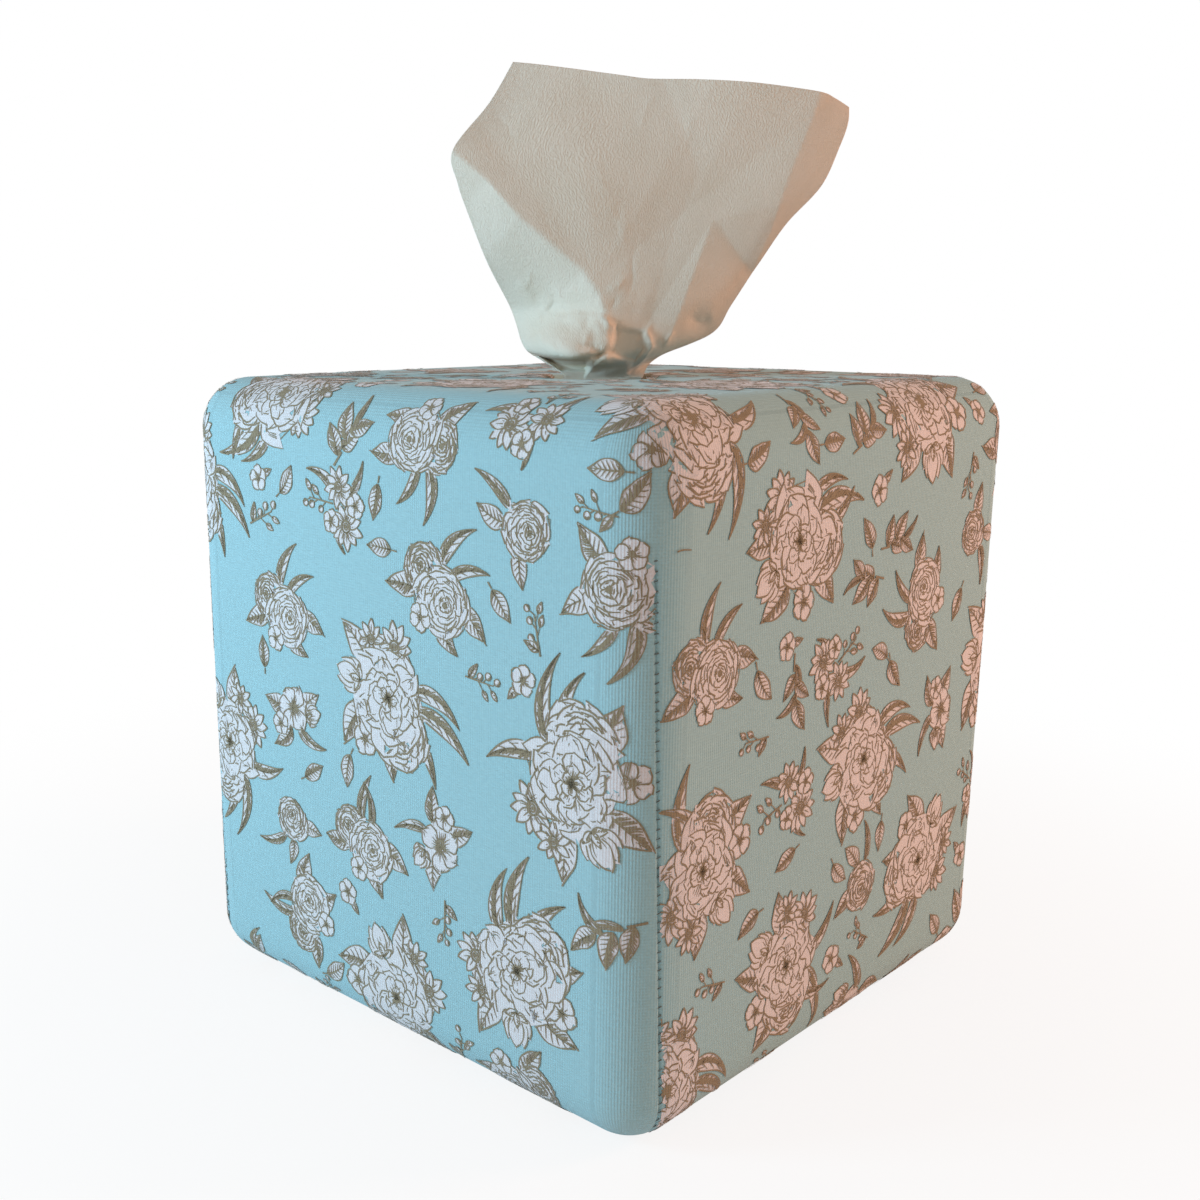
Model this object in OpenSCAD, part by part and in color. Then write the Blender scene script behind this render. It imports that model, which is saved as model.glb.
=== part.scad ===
// Padded cloth-covered box that stands over a toilet roll. The paper is drawn from the
// middle of the roll and comes out through a small hole in the top.
// The origin is on the surface under the middle of the box, +Z is up and units are millimetres.

/* [Box] */
// Space between the roll and the lining on each side
roll_room = 4; // [1:0.5:12]
// Space between the roll and the lining above it
head_room = 29.5; // [15:0.5:45]
// Radius of every padded edge
edge_r = 11.3; // [8:0.1:16]
// Height of the turned-in hem above the surface that the roll stands on
stand_gap = 0.2; // [0.1:0.1:0.5]

/* [Wall] */
// Thickness of the printed cloth
cover_t = 0.6; // [0.4:0.1:0.9]
// Thickness of the foam padding
foam_t = 7; // [4:0.5:7.5]
// Thickness of the stiff boards
board_t = 2.5; // [1.5:0.5:3]
// Thickness of the plain lining cloth
lining_t = 0.4; // [0.3:0.1:0.6]
// Height to which the printed cloth is turned up inside the walls
hem_h = 14; // [8:1:30]

/* [Corner seams] */
// Distance from the top of the box down to where each corner seam begins
seam_drop = 25; // [18:1:45]
// Width of the crease along a corner seam
seam_w = 0.9; // [0.6:0.1:1.2]
// Depth of the crease along a corner seam
seam_depth = 0.35; // [0.1:0.05:0.4]
// Place of the seam on the rounded corner, as an angle past its middle towards the right-hand wall
seam_turn = 17; // [0:1:30]
// Lean of the seam from upright, as it was sewn by hand
seam_lean = 2; // [0:0.5:3]

/* [Paper hole] */
// Diameter of the hole in the top that the paper comes through
hole_d = 23; // [20:1:36]
// Radius of the soft lip round the hole
lip_r = 4; // [2:0.5:6]

/* [Roll] */
// Outside diameter of the roll
roll_d = 106; // [90:1:108]
// Height of the roll, which is the width of its paper
roll_h = 100; // [90:1:110]
// Diameter of the middle of the roll, where the core was taken out
bore_d = 44; // [38:1:50]
// Distance between the ridges that the turns leave on the ends of the roll
turn_pitch = 1.5; // [1:0.25:3]
// Height of those ridges
turn_rise = 0.35; // [0.1:0.05:0.5]

/* [Drawn sheet] */
// Height of the free end of the paper above the top of the box
fan_rise = 66; // [50:1:90]
// Distance from the middle of the hole to the far corner of the opened paper
fan_half = 57; // [40:1:62]
// Depth over which the opened paper bends
fan_depth = 20; // [10:1:30]
// Direction in which the opened paper faces, turned about Z
fan_turn = -46; // [-90:1:90]
// Depth of the pleats of the gathered paper, to each side
pleat_depth = 3; // [1:0.1:3.5]
// Number of pleats across the gathered paper
pleat_count = 8; // [5:1:9]
// Thickness of the drawn paper with its plies
paper_t = 0.5; // [0.3:0.1:0.6]
// Space between the drawn paper and what it runs past
paper_gap = 0.3; // [0.2:0.1:0.6]

/* [Hidden] */
$fn = 96;
// Overrun of every cut past the face that it opens
cut = 1;

// Widths and levels of the layers, from the roll outwards
room_w = roll_d + 2 * roll_room;
cavity_w = room_w + 2 * lining_t;
mouth_w = cavity_w - 2 * cover_t;
board_w = cavity_w + 2 * board_t;
box_w = board_w + 2 * (foam_t + cover_t);
hem_z = stand_gap;
wall_z = hem_z + cover_t;
ceiling_z = roll_h + head_room + lining_t;
board_top_z = ceiling_z + board_t;
box_h = board_top_z + foam_t + cover_t;
hole_r = hole_d / 2;
seam_z = box_h - seam_drop;
corner_x = box_w / 2 - edge_r;

// Quarter turns for the four sides, seen from above: front, right, back, left
FRONT = 0;
RIGHT = 90;
BACK = 180;
LEFT = 270;

// Half of the upright section of a block with rounded ends, from its corner axis outwards
module edge_section(r, height) {
    intersection() {
        union() {
            translate([0, r]) circle(r);
            translate([0, height - r]) circle(r);
            translate([0, r]) square([r, height - 2 * r]);
        }
        square([r, height]);
    }
}

// Padded form, drawn in by a depth on every side, with every edge rounded
module padded_block(inset) {
    r = edge_r - inset;
    height = box_h - hem_z - 2 * inset;
    flat = box_w - 2 * edge_r;
    translate([0, 0, hem_z + inset]) {
        linear_extrude(height) square(flat, center = true);
        for (turn = [FRONT, RIGHT, BACK, LEFT]) rotate(turn) {
            translate([flat / 2, flat / 2]) rotate_extrude(angle = 90) edge_section(r, height);
            translate([flat / 2, flat / 2]) rotate([90, 0, 0])
                linear_extrude(flat) edge_section(r, height);
        }
    }
}

// Funnel that the hole cuts through a form drawn in by the same depth
module hole_funnel(inset) {
    arc_r = lip_r - inset;
    throat_r = hole_r + inset;
    translate([0, 0, -cut]) cylinder(r = throat_r, h = box_h + 2 * cut);
    rotate_extrude() difference() {
        translate([0, box_h - lip_r]) square([hole_r + lip_r, lip_r + cut]);
        translate([hole_r + lip_r, box_h - lip_r]) circle(arc_r);
        translate([hole_r + lip_r, box_h - lip_r]) square([lip_r, lip_r + cut]);
    }
}

// Form of the whole box at a depth below its cloth surface, with the hole through it
module box_form(inset) {
    difference() {
        padded_block(inset);
        hole_funnel(inset);
    }
}

// Square prism centred on the axis
module square_prism(width, low, high) {
    translate([-width / 2, -width / 2, low]) cube([width, width, high - low]);
}

// Crease along the seam of the front left corner, down to and under the rounded bottom edge
module seam_crease() {
    low_z = hem_z + edge_r;
    middle_z = (low_z + seam_z) / 2;
    translate([-corner_x, -corner_x, middle_z]) rotate(225 + seam_turn) rotate([seam_lean, 0, 0])
        translate([0, 0, -middle_z]) {
            translate([edge_r, 0, low_z]) linear_extrude(seam_z - low_z) crease_section();
            translate([0, 0, low_z]) rotate([90, 0, 0]) rotate(-90)
                rotate_extrude(angle = 90) translate([edge_r, 0]) crease_section();
        }
}

// Section of the crease, open outwards and pointed inwards
module crease_section() {
    polygon([[cut, -seam_w / 2], [cut, seam_w / 2], [0, seam_w / 2], [-seam_depth, 0], [0, -seam_w / 2]]);
}

// One cloth over the top and all four sides, seamed at the corners, turned in at the bottom
module printed_cover() {
    color([0.55, 0.76, 0.81]) {
        difference() {
            box_form(0);
            box_form(cover_t);
            square_prism(mouth_w, -cut, ceiling_z);
            for (turn = [FRONT, RIGHT, BACK, LEFT]) rotate(turn) seam_crease();
        }
        difference() {
            square_prism(mouth_w + 2 * cover_t, hem_z, hem_h);
            square_prism(mouth_w, hem_z - cut, hem_h + cut);
        }
    }
}

// Wedge of space outside one wall, between the mitres at its two corners
module wall_wedge() {
    reach = box_w;
    translate([0, 0, -cut]) linear_extrude(box_h + 2 * cut)
        polygon([[0, 0], [-reach, -reach], [reach, -reach]]);
}

// Padding of one wall, mitred at both corners and rounded along the top and bottom
module foam_wall(turn) {
    color([0.93, 0.92, 0.86]) intersection() {
        difference() {
            padded_block(cover_t);
            square_prism(board_w, -cut, box_h + cut);
        }
        rotate(turn) wall_wedge();
    }
}

// Padding of the top, with the soft lip of the paper hole
module foam_top() {
    color([0.93, 0.92, 0.86]) intersection() {
        box_form(cover_t);
        square_prism(board_w, board_top_z, box_h);
    }
}

// Stiff board inside one wall, with the width that its place in the corner joints leaves, and with
// its lower corners rounded off under the cloth
module wall_board(turn, width) {
    color([0.62, 0.60, 0.56]) intersection() {
        rotate(turn) translate([-width / 2, -board_w / 2, wall_z])
            cube([width, board_t, ceiling_z - wall_z]);
        padded_block(cover_t);
    }
}

// Stiff board under the top padding
module board_top() {
    color([0.62, 0.60, 0.56]) difference() {
        square_prism(board_w, ceiling_z, board_top_z);
        hole_funnel(cover_t);
    }
}

// Plain cloth on the inside of the boards, from the hem to the ceiling
module lining() {
    color([0.90, 0.90, 0.88]) difference() {
        square_prism(cavity_w, hem_h, ceiling_z);
        square_prism(room_w, hem_h - cut, ceiling_z - lining_t);
        hole_funnel(cover_t);
    }
}

// One end of the roll as ridges left by its turns, from the bore outwards
function turn_ridges(count) = [
    for (i = [0 : 2 * count])
        [bore_d / 2 + i * (roll_d - bore_d) / 2 / (2 * count), i % 2 == 0 ? 0 : turn_rise]
];

// Wound paper with its core taken out, standing on end
module toilet_roll() {
    count = round((roll_d - bore_d) / 2 / turn_pitch);
    ridges = turn_ridges(count);
    low = [for (p = ridges) [p[0], turn_rise - p[1]]];
    high = [for (i = [len(ridges) - 1 : -1 : 0]) [ridges[i][0], roll_h - turn_rise + ridges[i][1]]];
    color([0.88, 0.87, 0.82]) rotate_extrude() polygon(concat(low, high));
}

// The drawn sheet runs in rows from the bore of the roll up to its free end, with the same columns
// in each row. Below the hole and in it the rows are straight, and the paper is pleated.
roll_top = roll_h - box_h;
neck_half = hole_r - paper_t / 2 - paper_gap;
tail_half_share = 0.45;
tail_x = bore_d / 2 - paper_gap - paper_t / 2 - tail_half_share * neck_half;

// Gathered rows: middle of the row, half of its width, and its level from the top of the box
gathered_rows = [
    [tail_x, neck_half * tail_half_share, roll_top - roll_h * tail_half_share],
    [tail_x, neck_half * tail_half_share, roll_top - bore_d / 2],
    [tail_x / 2, neck_half / 2, roll_top],
    [0, neck_half, -lip_r]
];

// Open rows, with places as shares of the fan's three sizes: sideways, towards the back, and up.
// The columns run from the left edge past the ridge, across the broad middle and past the right
// fold to the right edge.
open_row_shares = [
    [[-0.165, 0, 0], [-0.135, 0, 0], [-0.105, 0, 0], [-0.075, 0, 0], [-0.045, 0, 0], [-0.015, 0, 0],
     [0.015, 0, 0], [0.045, 0, 0], [0.075, 0, 0], [0.105, 0, 0], [0.135, 0, 0], [0.165, 0, 0]],
    [[-0.315, 0.3, 0.1], [-0.27, 0.05, 0.095], [-0.18, -0.45, 0.085], [-0.075, -0.65, 0.075],
     [0.03, -0.5, 0.08], [0.09, -0.3, 0.09], [0.14, -0.25, 0.105], [0.2, -0.25, 0.115],
     [0.265, -0.15, 0.125], [0.335, 0, 0.13], [0.38, 0.15, 0.14], [0.41, 0.3, 0.145]],
    [[-0.365, 0.65, 0.225], [-0.305, 0.45, 0.225], [-0.21, 0.2, 0.22], [-0.095, -0.15, 0.22],
     [0.03, -0.35, 0.22], [0.115, -0.3, 0.22], [0.18, -0.3, 0.22], [0.255, -0.25, 0.22],
     [0.355, -0.1, 0.22], [0.43, 0.05, 0.22], [0.465, 0.2, 0.22], [0.49, 0.35, 0.22]],
    [[-0.46, 0.45, 0.38], [-0.375, 0.3, 0.38], [-0.265, 0.1, 0.38], [-0.1, -0.2, 0.38],
     [0.05, -0.25, 0.38], [0.14, -0.2, 0.38], [0.23, -0.2, 0.38], [0.32, -0.2, 0.38],
     [0.43, -0.1, 0.38], [0.53, 0.1, 0.375], [0.585, 0.2, 0.375], [0.62, 0.3, 0.375]],
    [[-0.535, 0.25, 0.54], [-0.42, 0.05, 0.54], [-0.295, -0.1, 0.53], [-0.12, -0.15, 0.53],
     [0.05, -0.2, 0.53], [0.17, -0.15, 0.53], [0.28, -0.15, 0.53], [0.39, -0.1, 0.53],
     [0.52, -0.1, 0.53], [0.655, 0, 0.53], [0.72, 0.15, 0.535], [0.785, 0.3, 0.54]],
    [[-0.59, 0, 0.74], [-0.49, 0, 0.74], [-0.355, -0.05, 0.735], [-0.18, -0.1, 0.735],
     [0.03, -0.1, 0.73], [0.17, -0.1, 0.73], [0.3, -0.1, 0.73], [0.43, -0.05, 0.73],
     [0.58, -0.05, 0.725], [0.735, -0.05, 0.725], [0.84, 0.1, 0.75], [0.955, 0.35, 0.765]],
    [[-0.36, 0.1, 1], [-0.295, 0.05, 0.995], [-0.2, 0, 0.99], [-0.07, -0.05, 0.98],
     [0.05, -0.05, 0.965], [0.14, -0.1, 0.955], [0.23, -0.05, 0.95], [0.36, -0.05, 0.95],
     [0.57, -0.05, 0.94], [0.81, 0, 0.92], [0.92, 0.15, 0.915], [1, 0.4, 0.91]]
];
columns = len(open_row_shares[0]);

rows = concat(
    [for (row = gathered_rows)
        [for (k = [0 : columns - 1]) [row[0] + (2 * k / (columns - 1) - 1) * row[1], 0, row[2]]]],
    [for (row = open_row_shares) [for (p = row) [p[0] * fan_half, p[1] * fan_depth, p[2] * fan_rise]]]
);

// Smooth curve through four values, at t from 0 to 1 between the middle two
function through(a, b, c, d, t) =
    b + t * ((c - a) + t * ((2 * a - 5 * b + 4 * c - d) + t * (3 * b - a - 3 * c + d))) / 2;
// Smooth value at place s along a list
function along(list, s) =
    let (last = len(list) - 1, i = min(floor(s), last - 1), t = s - i)
    through(list[max(i - 1, 0)], list[i], list[i + 1], list[min(i + 2, last)], t);
// Place on the sheet before its pleats, with u across and v along
function sheet_point(u, v) = along([for (row = rows) along(row, u)], v);

sheet_columns = 4 * pleat_count;
sheet_rows = 4 * (len(rows) - 1);
u_last = columns - 1;
v_last = len(rows) - 1;
neck_v = len(gathered_rows) - 1;
// Number of rows above the hole over which the pleats open out
pleat_fade = 4;
// How deep the pleats are at a place along the sheet, as a share: full up to the hole, none in the open fan
function pleat_share(v) = v <= neck_v ? 1 : pow(max(0, 1 - (v - neck_v) / pleat_fade), 2);
// Wave across the sheet that turns at every second column, from -1 to 1
function pleat_wave(i) = [0, 1, 0, -1][i % 4];
function sheet_place(i, j) =
    let (u = u_last * i / sheet_columns, v = v_last * j / sheet_rows)
    sheet_point(u, v) + [0, pleat_depth * pleat_share(v) * pleat_wave(i), 0];

function unit(v) = v / norm(v);
// Direction square to the sheet at one of its places
function sheet_normal(i, j) =
    unit(cross(
        sheet_place(min(i + 1, sheet_columns), j) - sheet_place(max(i - 1, 0), j),
        sheet_place(i, min(j + 1, sheet_rows)) - sheet_place(i, max(j - 1, 0))
    ));
function sheet_side(side) = [
    for (j = [0 : sheet_rows]) for (i = [0 : sheet_columns])
        sheet_place(i, j) + side * paper_t / 2 * sheet_normal(i, j)
];

// Paper drawn from the roll through the hole, gathered there and open above the box
module drawn_sheet() {
    wide = sheet_columns + 1;
    side = wide * (sheet_rows + 1);
    near = [
        for (j = [0 : sheet_rows - 1]) for (i = [0 : sheet_columns - 1])
            let (a = j * wide + i) each [[a, a + wide, a + wide + 1], [a, a + wide + 1, a + 1]]
    ];
    far = [for (f = near) [f[0] + side, f[2] + side, f[1] + side]];
    rim = concat(
        [for (i = [0 : sheet_columns - 1]) i],
        [for (j = [0 : sheet_rows - 1]) j * wide + sheet_columns],
        [for (i = [sheet_columns : -1 : 1]) sheet_rows * wide + i],
        [for (j = [sheet_rows : -1 : 1]) j * wide]
    );
    edges = [
        for (k = [0 : len(rim) - 1])
            let (a = rim[k], b = rim[(k + 1) % len(rim)])
                each [[a, b, b + side], [a, b + side, a + side]]
    ];
    color([0.87, 0.86, 0.80]) translate([0, 0, box_h]) rotate(fan_turn)
        polyhedron(concat(sheet_side(-1), sheet_side(1)), concat(near, far, edges));
}

printed_cover();
foam_wall(FRONT);  // foam_front
foam_wall(RIGHT);  // foam_right
foam_wall(BACK);  // foam_back
foam_wall(LEFT);  // foam_left
foam_top();
wall_board(FRONT, board_w);  // board_front
wall_board(RIGHT, cavity_w);  // board_right
wall_board(BACK, board_w);  // board_back
wall_board(LEFT, cavity_w);  // board_left
board_top();
lining();
toilet_roll();
drawn_sheet();
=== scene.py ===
import math

import bpy
import numpy as np
from mathutils import Matrix, Vector


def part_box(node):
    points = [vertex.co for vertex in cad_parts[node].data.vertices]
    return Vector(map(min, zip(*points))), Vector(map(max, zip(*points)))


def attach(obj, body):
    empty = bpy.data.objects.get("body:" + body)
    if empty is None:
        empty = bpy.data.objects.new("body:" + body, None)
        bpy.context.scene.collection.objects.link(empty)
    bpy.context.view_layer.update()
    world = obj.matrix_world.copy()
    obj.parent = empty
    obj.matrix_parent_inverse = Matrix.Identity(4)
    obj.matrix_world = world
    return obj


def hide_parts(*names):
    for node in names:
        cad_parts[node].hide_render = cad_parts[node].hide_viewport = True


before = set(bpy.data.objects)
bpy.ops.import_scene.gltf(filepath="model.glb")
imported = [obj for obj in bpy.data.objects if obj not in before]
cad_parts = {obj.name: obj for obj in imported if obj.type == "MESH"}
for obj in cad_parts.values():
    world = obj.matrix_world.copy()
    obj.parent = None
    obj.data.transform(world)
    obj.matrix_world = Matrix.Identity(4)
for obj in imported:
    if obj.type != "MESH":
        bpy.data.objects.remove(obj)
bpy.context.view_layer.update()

# Sizes are in millimetres and taken from the frame, and MM turns them into metres
MM = 0.001
cover_box = np.array(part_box("printed_cover")) / MM
roll_box = np.array(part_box("toilet_roll")) / MM
HALF = cover_box[1][0]
TOP = cover_box[1][2]
HEM_Z = cover_box[0][2]
EDGE_R = 11.3
CORE = HALF - EDGE_R
HOLE_R = 11.5
LIP_R = 4.0
MOUTH = 56.8
HEM_TOP = 14.0
SEAM_Z = TOP - 25.0
SEAM_TURN = math.radians(17)
SEAM_LEAN = math.radians(2)
SEAM_W = 1.3
SEAM_DEPTH = 0.55
PUFF = 0.5

# Height of the petals, lowest to highest, and of the drawn lines above the cloth
PETAL_LIFT = 0.04
TOP_PETAL_LIFT = 0.12
LINE_LIFT = 0.15

# Camera, in millimetres and in the pixels of the photograph's 1200 x 1200 frame
YAW, PITCH, ROLL = 0.761, 0.232, 0.001
PHOTO_PX = 1200
FOCAL_PX = 1395.8
PHOTO_CENTRE = (516.9, 635.3)
CAMERA_PLACE = np.array([-246.8, -208.0, 155.65])


def camera_axes():
    """Right, up and forward of the camera."""
    forward = np.array([math.cos(YAW) * math.cos(PITCH), math.sin(YAW) * math.cos(PITCH), -math.sin(PITCH)])
    right = np.array([math.sin(YAW), -math.cos(YAW), 0])
    up = np.cross(right, forward)
    return (right * math.cos(ROLL) + up * math.sin(ROLL), up * math.cos(ROLL) - right * math.sin(ROLL), forward)


CAMERA_AXES = camera_axes()


def unit(v):
    return v / np.maximum(np.linalg.norm(v, axis=-1, keepdims=True), 1e-12)


# The padded form: a block with rounded edges, a lip round the hole and slightly full faces

def core_point(p):
    low = np.array([-CORE, -CORE, HEM_Z + EDGE_R])
    high = np.array([CORE, CORE, TOP - EDGE_R])
    return np.clip(p, low, high)


def onto_block(p):
    q = core_point(p)
    n = unit(p - q)
    return q + EDGE_R * n, n


def fullness(p, n):
    """How far the padding swells each face, least along its edges."""
    x, y, z = p[..., 0] / HALF, p[..., 1] / HALF, (p[..., 2] - TOP / 2) / (TOP / 2)
    across = np.cos(np.clip(x, -1, 1) * math.pi / 2) * np.abs(n[..., 1]) ** 3
    across += np.cos(np.clip(y, -1, 1) * math.pi / 2) * np.abs(n[..., 0]) ** 3
    wall = across * np.clip(1 - z ** 2, 0, 1) ** 0.7
    ring = np.clip((np.hypot(p[..., 0], p[..., 1]) - HOLE_R) / HALF, 0, 1)
    roof = np.clip(n[..., 2], 0, 1) ** 3 * np.sin(math.pi * ring) * 0.3
    return PUFF * (wall + roof)


def dressed(p, n, lift=0.0):
    """Points of the block moved out by the padding, or down into the hole."""
    radius = np.hypot(p[..., 0], p[..., 1])
    in_lip = (p[..., 2] > TOP - EDGE_R / 2) & (radius < HOLE_R + LIP_R)
    turn = np.clip((HOLE_R + LIP_R - radius) / LIP_R, 0, math.pi / 2)
    out = p + n * (fullness(p, n) + lift)[..., None]
    if np.any(in_lip):
        away = p[in_lip, :2] / np.maximum(radius[in_lip], 1e-9)[:, None]
        t = turn[in_lip]
        lip_n = np.c_[-away * np.sin(t)[:, None], np.cos(t)]
        centre = np.c_[away * (HOLE_R + LIP_R), np.full(len(t), TOP - LIP_R)]
        extra = (LIP_R + (np.asarray(lift) * np.ones(radius.shape))[in_lip])[:, None]
        out[in_lip] = centre + lip_n * extra
        n = n.copy()
        n[in_lip] = lip_n
    return out, n


def cloth_map(p, n):
    """Place on the cloth, in millimetres along its ribs: round the box and up, or over the top."""
    x, y, z = p[..., 0], p[..., 1], p[..., 2]
    q = core_point(p)
    around = np.arctan2(n[..., 1], n[..., 0])
    perimeter = around * EDGE_R + q[..., 0] * -np.sign(n[..., 1]) + q[..., 1] * np.sign(n[..., 0])
    roof = n[..., 2] > 0.7
    return np.stack([np.where(roof, x, perimeter), np.where(roof, y, z)], axis=-1)


def seam_angle(z):
    """Angle past the middle of a corner at which its seam runs."""
    middle = (HEM_Z + EDGE_R + SEAM_Z) / 2
    return SEAM_TURN + (middle - np.minimum(z, SEAM_Z)) * math.tan(SEAM_LEAN) / EDGE_R


def panel_of(p):
    """Number of the side that a point is on between the seams, -1 on the top and over the seams' ends."""
    n = unit(p - core_point(p))
    heading = np.arctan2(n[..., 1], n[..., 0])
    shifted = heading - (math.radians(225) - 2 * math.pi) - seam_angle(p[..., 2])
    side = np.floor(shifted / (math.pi / 2)).astype(int) % 4
    return np.where(p[..., 2] > SEAM_Z, -1, side)


# Mesh helpers

def new_piece(name, verts, faces, materials, body="root", face_slots=None, normals=None, uvs=None):
    mesh = bpy.data.meshes.new(name)
    mesh.from_pydata([tuple(v) for v in np.asarray(verts) * MM], [], [tuple(f) for f in faces])
    mesh.update()
    for m in materials:
        mesh.materials.append(m)
    mesh.polygons.foreach_set("use_smooth", np.ones(len(mesh.polygons), bool))
    if face_slots is not None:
        mesh.polygons.foreach_set("material_index", np.asarray(face_slots, np.int32))
    if uvs is not None:
        layer = mesh.uv_layers.new(name="cloth")
        loops = np.empty(len(mesh.loops), np.int32)
        mesh.loops.foreach_get("vertex_index", loops)
        layer.data.foreach_set("uv", np.asarray(uvs, np.float32)[loops].ravel())
    if normals is not None:
        mesh.normals_split_custom_set_from_vertices([tuple(v) for v in normals])
    piece = bpy.data.objects.new(name, mesh)
    bpy.context.scene.collection.objects.link(piece)
    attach(piece, body)
    return piece


def grid_faces(rows, columns, start=0, close=False):
    wide = columns
    faces = []
    for j in range(rows - 1):
        for i in range(columns - (0 if close else 1)):
            a, b = start + j * wide + i, start + j * wide + (i + 1) % wide
            faces.append((a, b, b + wide, a + wide))
    return faces


def weld(piece, distance=0.01):
    import bmesh
    bm = bmesh.new()
    bm.from_mesh(piece.data)
    bmesh.ops.remove_doubles(bm, verts=bm.verts, dist=distance * MM)
    bmesh.ops.recalc_face_normals(bm, faces=bm.faces)
    bm.to_mesh(piece.data)
    bm.free()


# Materials

def node_material(name, colour, roughness=0.85):
    mat = bpy.data.materials.new(name)
    mat.use_nodes = True
    shader = mat.node_tree.nodes["Principled BSDF"]
    shader.inputs["Base Color"].default_value = (*colour, 1)
    shader.inputs["Roughness"].default_value = roughness
    shader.inputs["Specular IOR Level"].default_value = 0.2
    return mat, mat.node_tree.nodes, mat.node_tree.links, shader


def add_node(nodes, kind, **settings):
    node = nodes.new(kind)
    for key, value in settings.items():
        if key.startswith("in_"):
            node.inputs[int(key[3:])].default_value = value
        else:
            setattr(node, key, value)
    return node


def vary_roughness(nodes, links, shader, noise, low, high):
    """Roughness that follows a noise between two values."""
    share = add_node(nodes, "ShaderNodeMapRange")
    for name, value in (("From Min", 0.3), ("From Max", 0.7), ("To Min", low), ("To Max", high)):
        share.inputs[name].default_value = value
    links.new(noise.outputs["Fac"], share.inputs["Value"])
    links.new(share.outputs["Result"], shader.inputs["Roughness"])


def colour_ramp(nodes, stops):
    ramp = nodes.new("ShaderNodeValToRGB")
    elements = ramp.color_ramp.elements
    while len(elements) < len(stops):
        elements.new(0.5)
    for element, (place, colour) in zip(elements, stops):
        element.position = place
        element.color = (*colour, 1)
    return ramp


def cloth_material(name, pale, deep, rib_pitch=0.6):
    """Ribbed stretch cloth: crossing ribs as bump, and a heathered mix of two close colours."""
    mat, nodes, links, shader = node_material(name, pale, 0.9)
    shader.inputs["Sheen Weight"].default_value = 0.15
    shader.inputs["Sheen Roughness"].default_value = 0.5
    uv = add_node(nodes, "ShaderNodeUVMap", uv_map="cloth")
    heather = add_node(nodes, "ShaderNodeTexNoise", in_2=0.9, in_3=6.0)
    heather.inputs["Roughness"].default_value = 0.75
    links.new(uv.outputs["UV"], heather.inputs["Vector"])
    ramp = colour_ramp(nodes, [(0.3, deep), (0.7, pale)])
    links.new(heather.outputs["Fac"], ramp.inputs["Fac"])
    links.new(ramp.outputs["Color"], shader.inputs["Base Color"])
    vary_roughness(nodes, links, shader, heather, 0.82, 0.98)
    split = add_node(nodes, "ShaderNodeSeparateXYZ")
    links.new(uv.outputs["UV"], split.inputs["Vector"])
    waves = []
    for axis in (0, 1):
        turn = add_node(nodes, "ShaderNodeMath", operation="MULTIPLY", in_1=2 * math.pi / rib_pitch)
        links.new(split.outputs[axis], turn.inputs[0])
        wave = add_node(nodes, "ShaderNodeMath", operation="SINE")
        links.new(turn.outputs[0], wave.inputs[0])
        waves.append(wave)
    both = add_node(nodes, "ShaderNodeMath", operation="ADD")
    links.new(waves[0].outputs[0], both.inputs[0])
    links.new(waves[1].outputs[0], both.inputs[1])
    rough = add_node(nodes, "ShaderNodeMath", operation="MULTIPLY_ADD", in_1=2.5)
    links.new(heather.outputs["Fac"], rough.inputs[0])
    links.new(both.outputs[0], rough.inputs[2])
    bump = add_node(nodes, "ShaderNodeBump")
    bump.inputs["Strength"].default_value = 0.35
    bump.inputs["Distance"].default_value = 0.08 * MM
    links.new(rough.outputs[0], bump.inputs["Height"])
    links.new(bump.outputs["Normal"], shader.inputs["Normal"])
    return mat


def soft_material(name, pale, deep, scale, bump_mm, roughness=0.9):
    """Plain soft stuff, such as foam, board or thread: fine grain in colour and bump."""
    mat, nodes, links, shader = node_material(name, pale, roughness)
    place = add_node(nodes, "ShaderNodeTexCoord")
    grain = add_node(nodes, "ShaderNodeTexNoise", in_2=scale, in_3=8.0)
    links.new(place.outputs["Object"], grain.inputs["Vector"])
    ramp = colour_ramp(nodes, [(0.35, deep), (0.65, pale)])
    links.new(grain.outputs["Fac"], ramp.inputs["Fac"])
    links.new(ramp.outputs["Color"], shader.inputs["Base Color"])
    vary_roughness(nodes, links, shader, grain, roughness - 0.08, roughness + 0.08)
    bump = add_node(nodes, "ShaderNodeBump")
    bump.inputs["Strength"].default_value = 0.5
    bump.inputs["Distance"].default_value = bump_mm * MM
    links.new(grain.outputs["Fac"], bump.inputs["Height"])
    links.new(bump.outputs["Normal"], shader.inputs["Normal"])
    return mat


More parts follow.
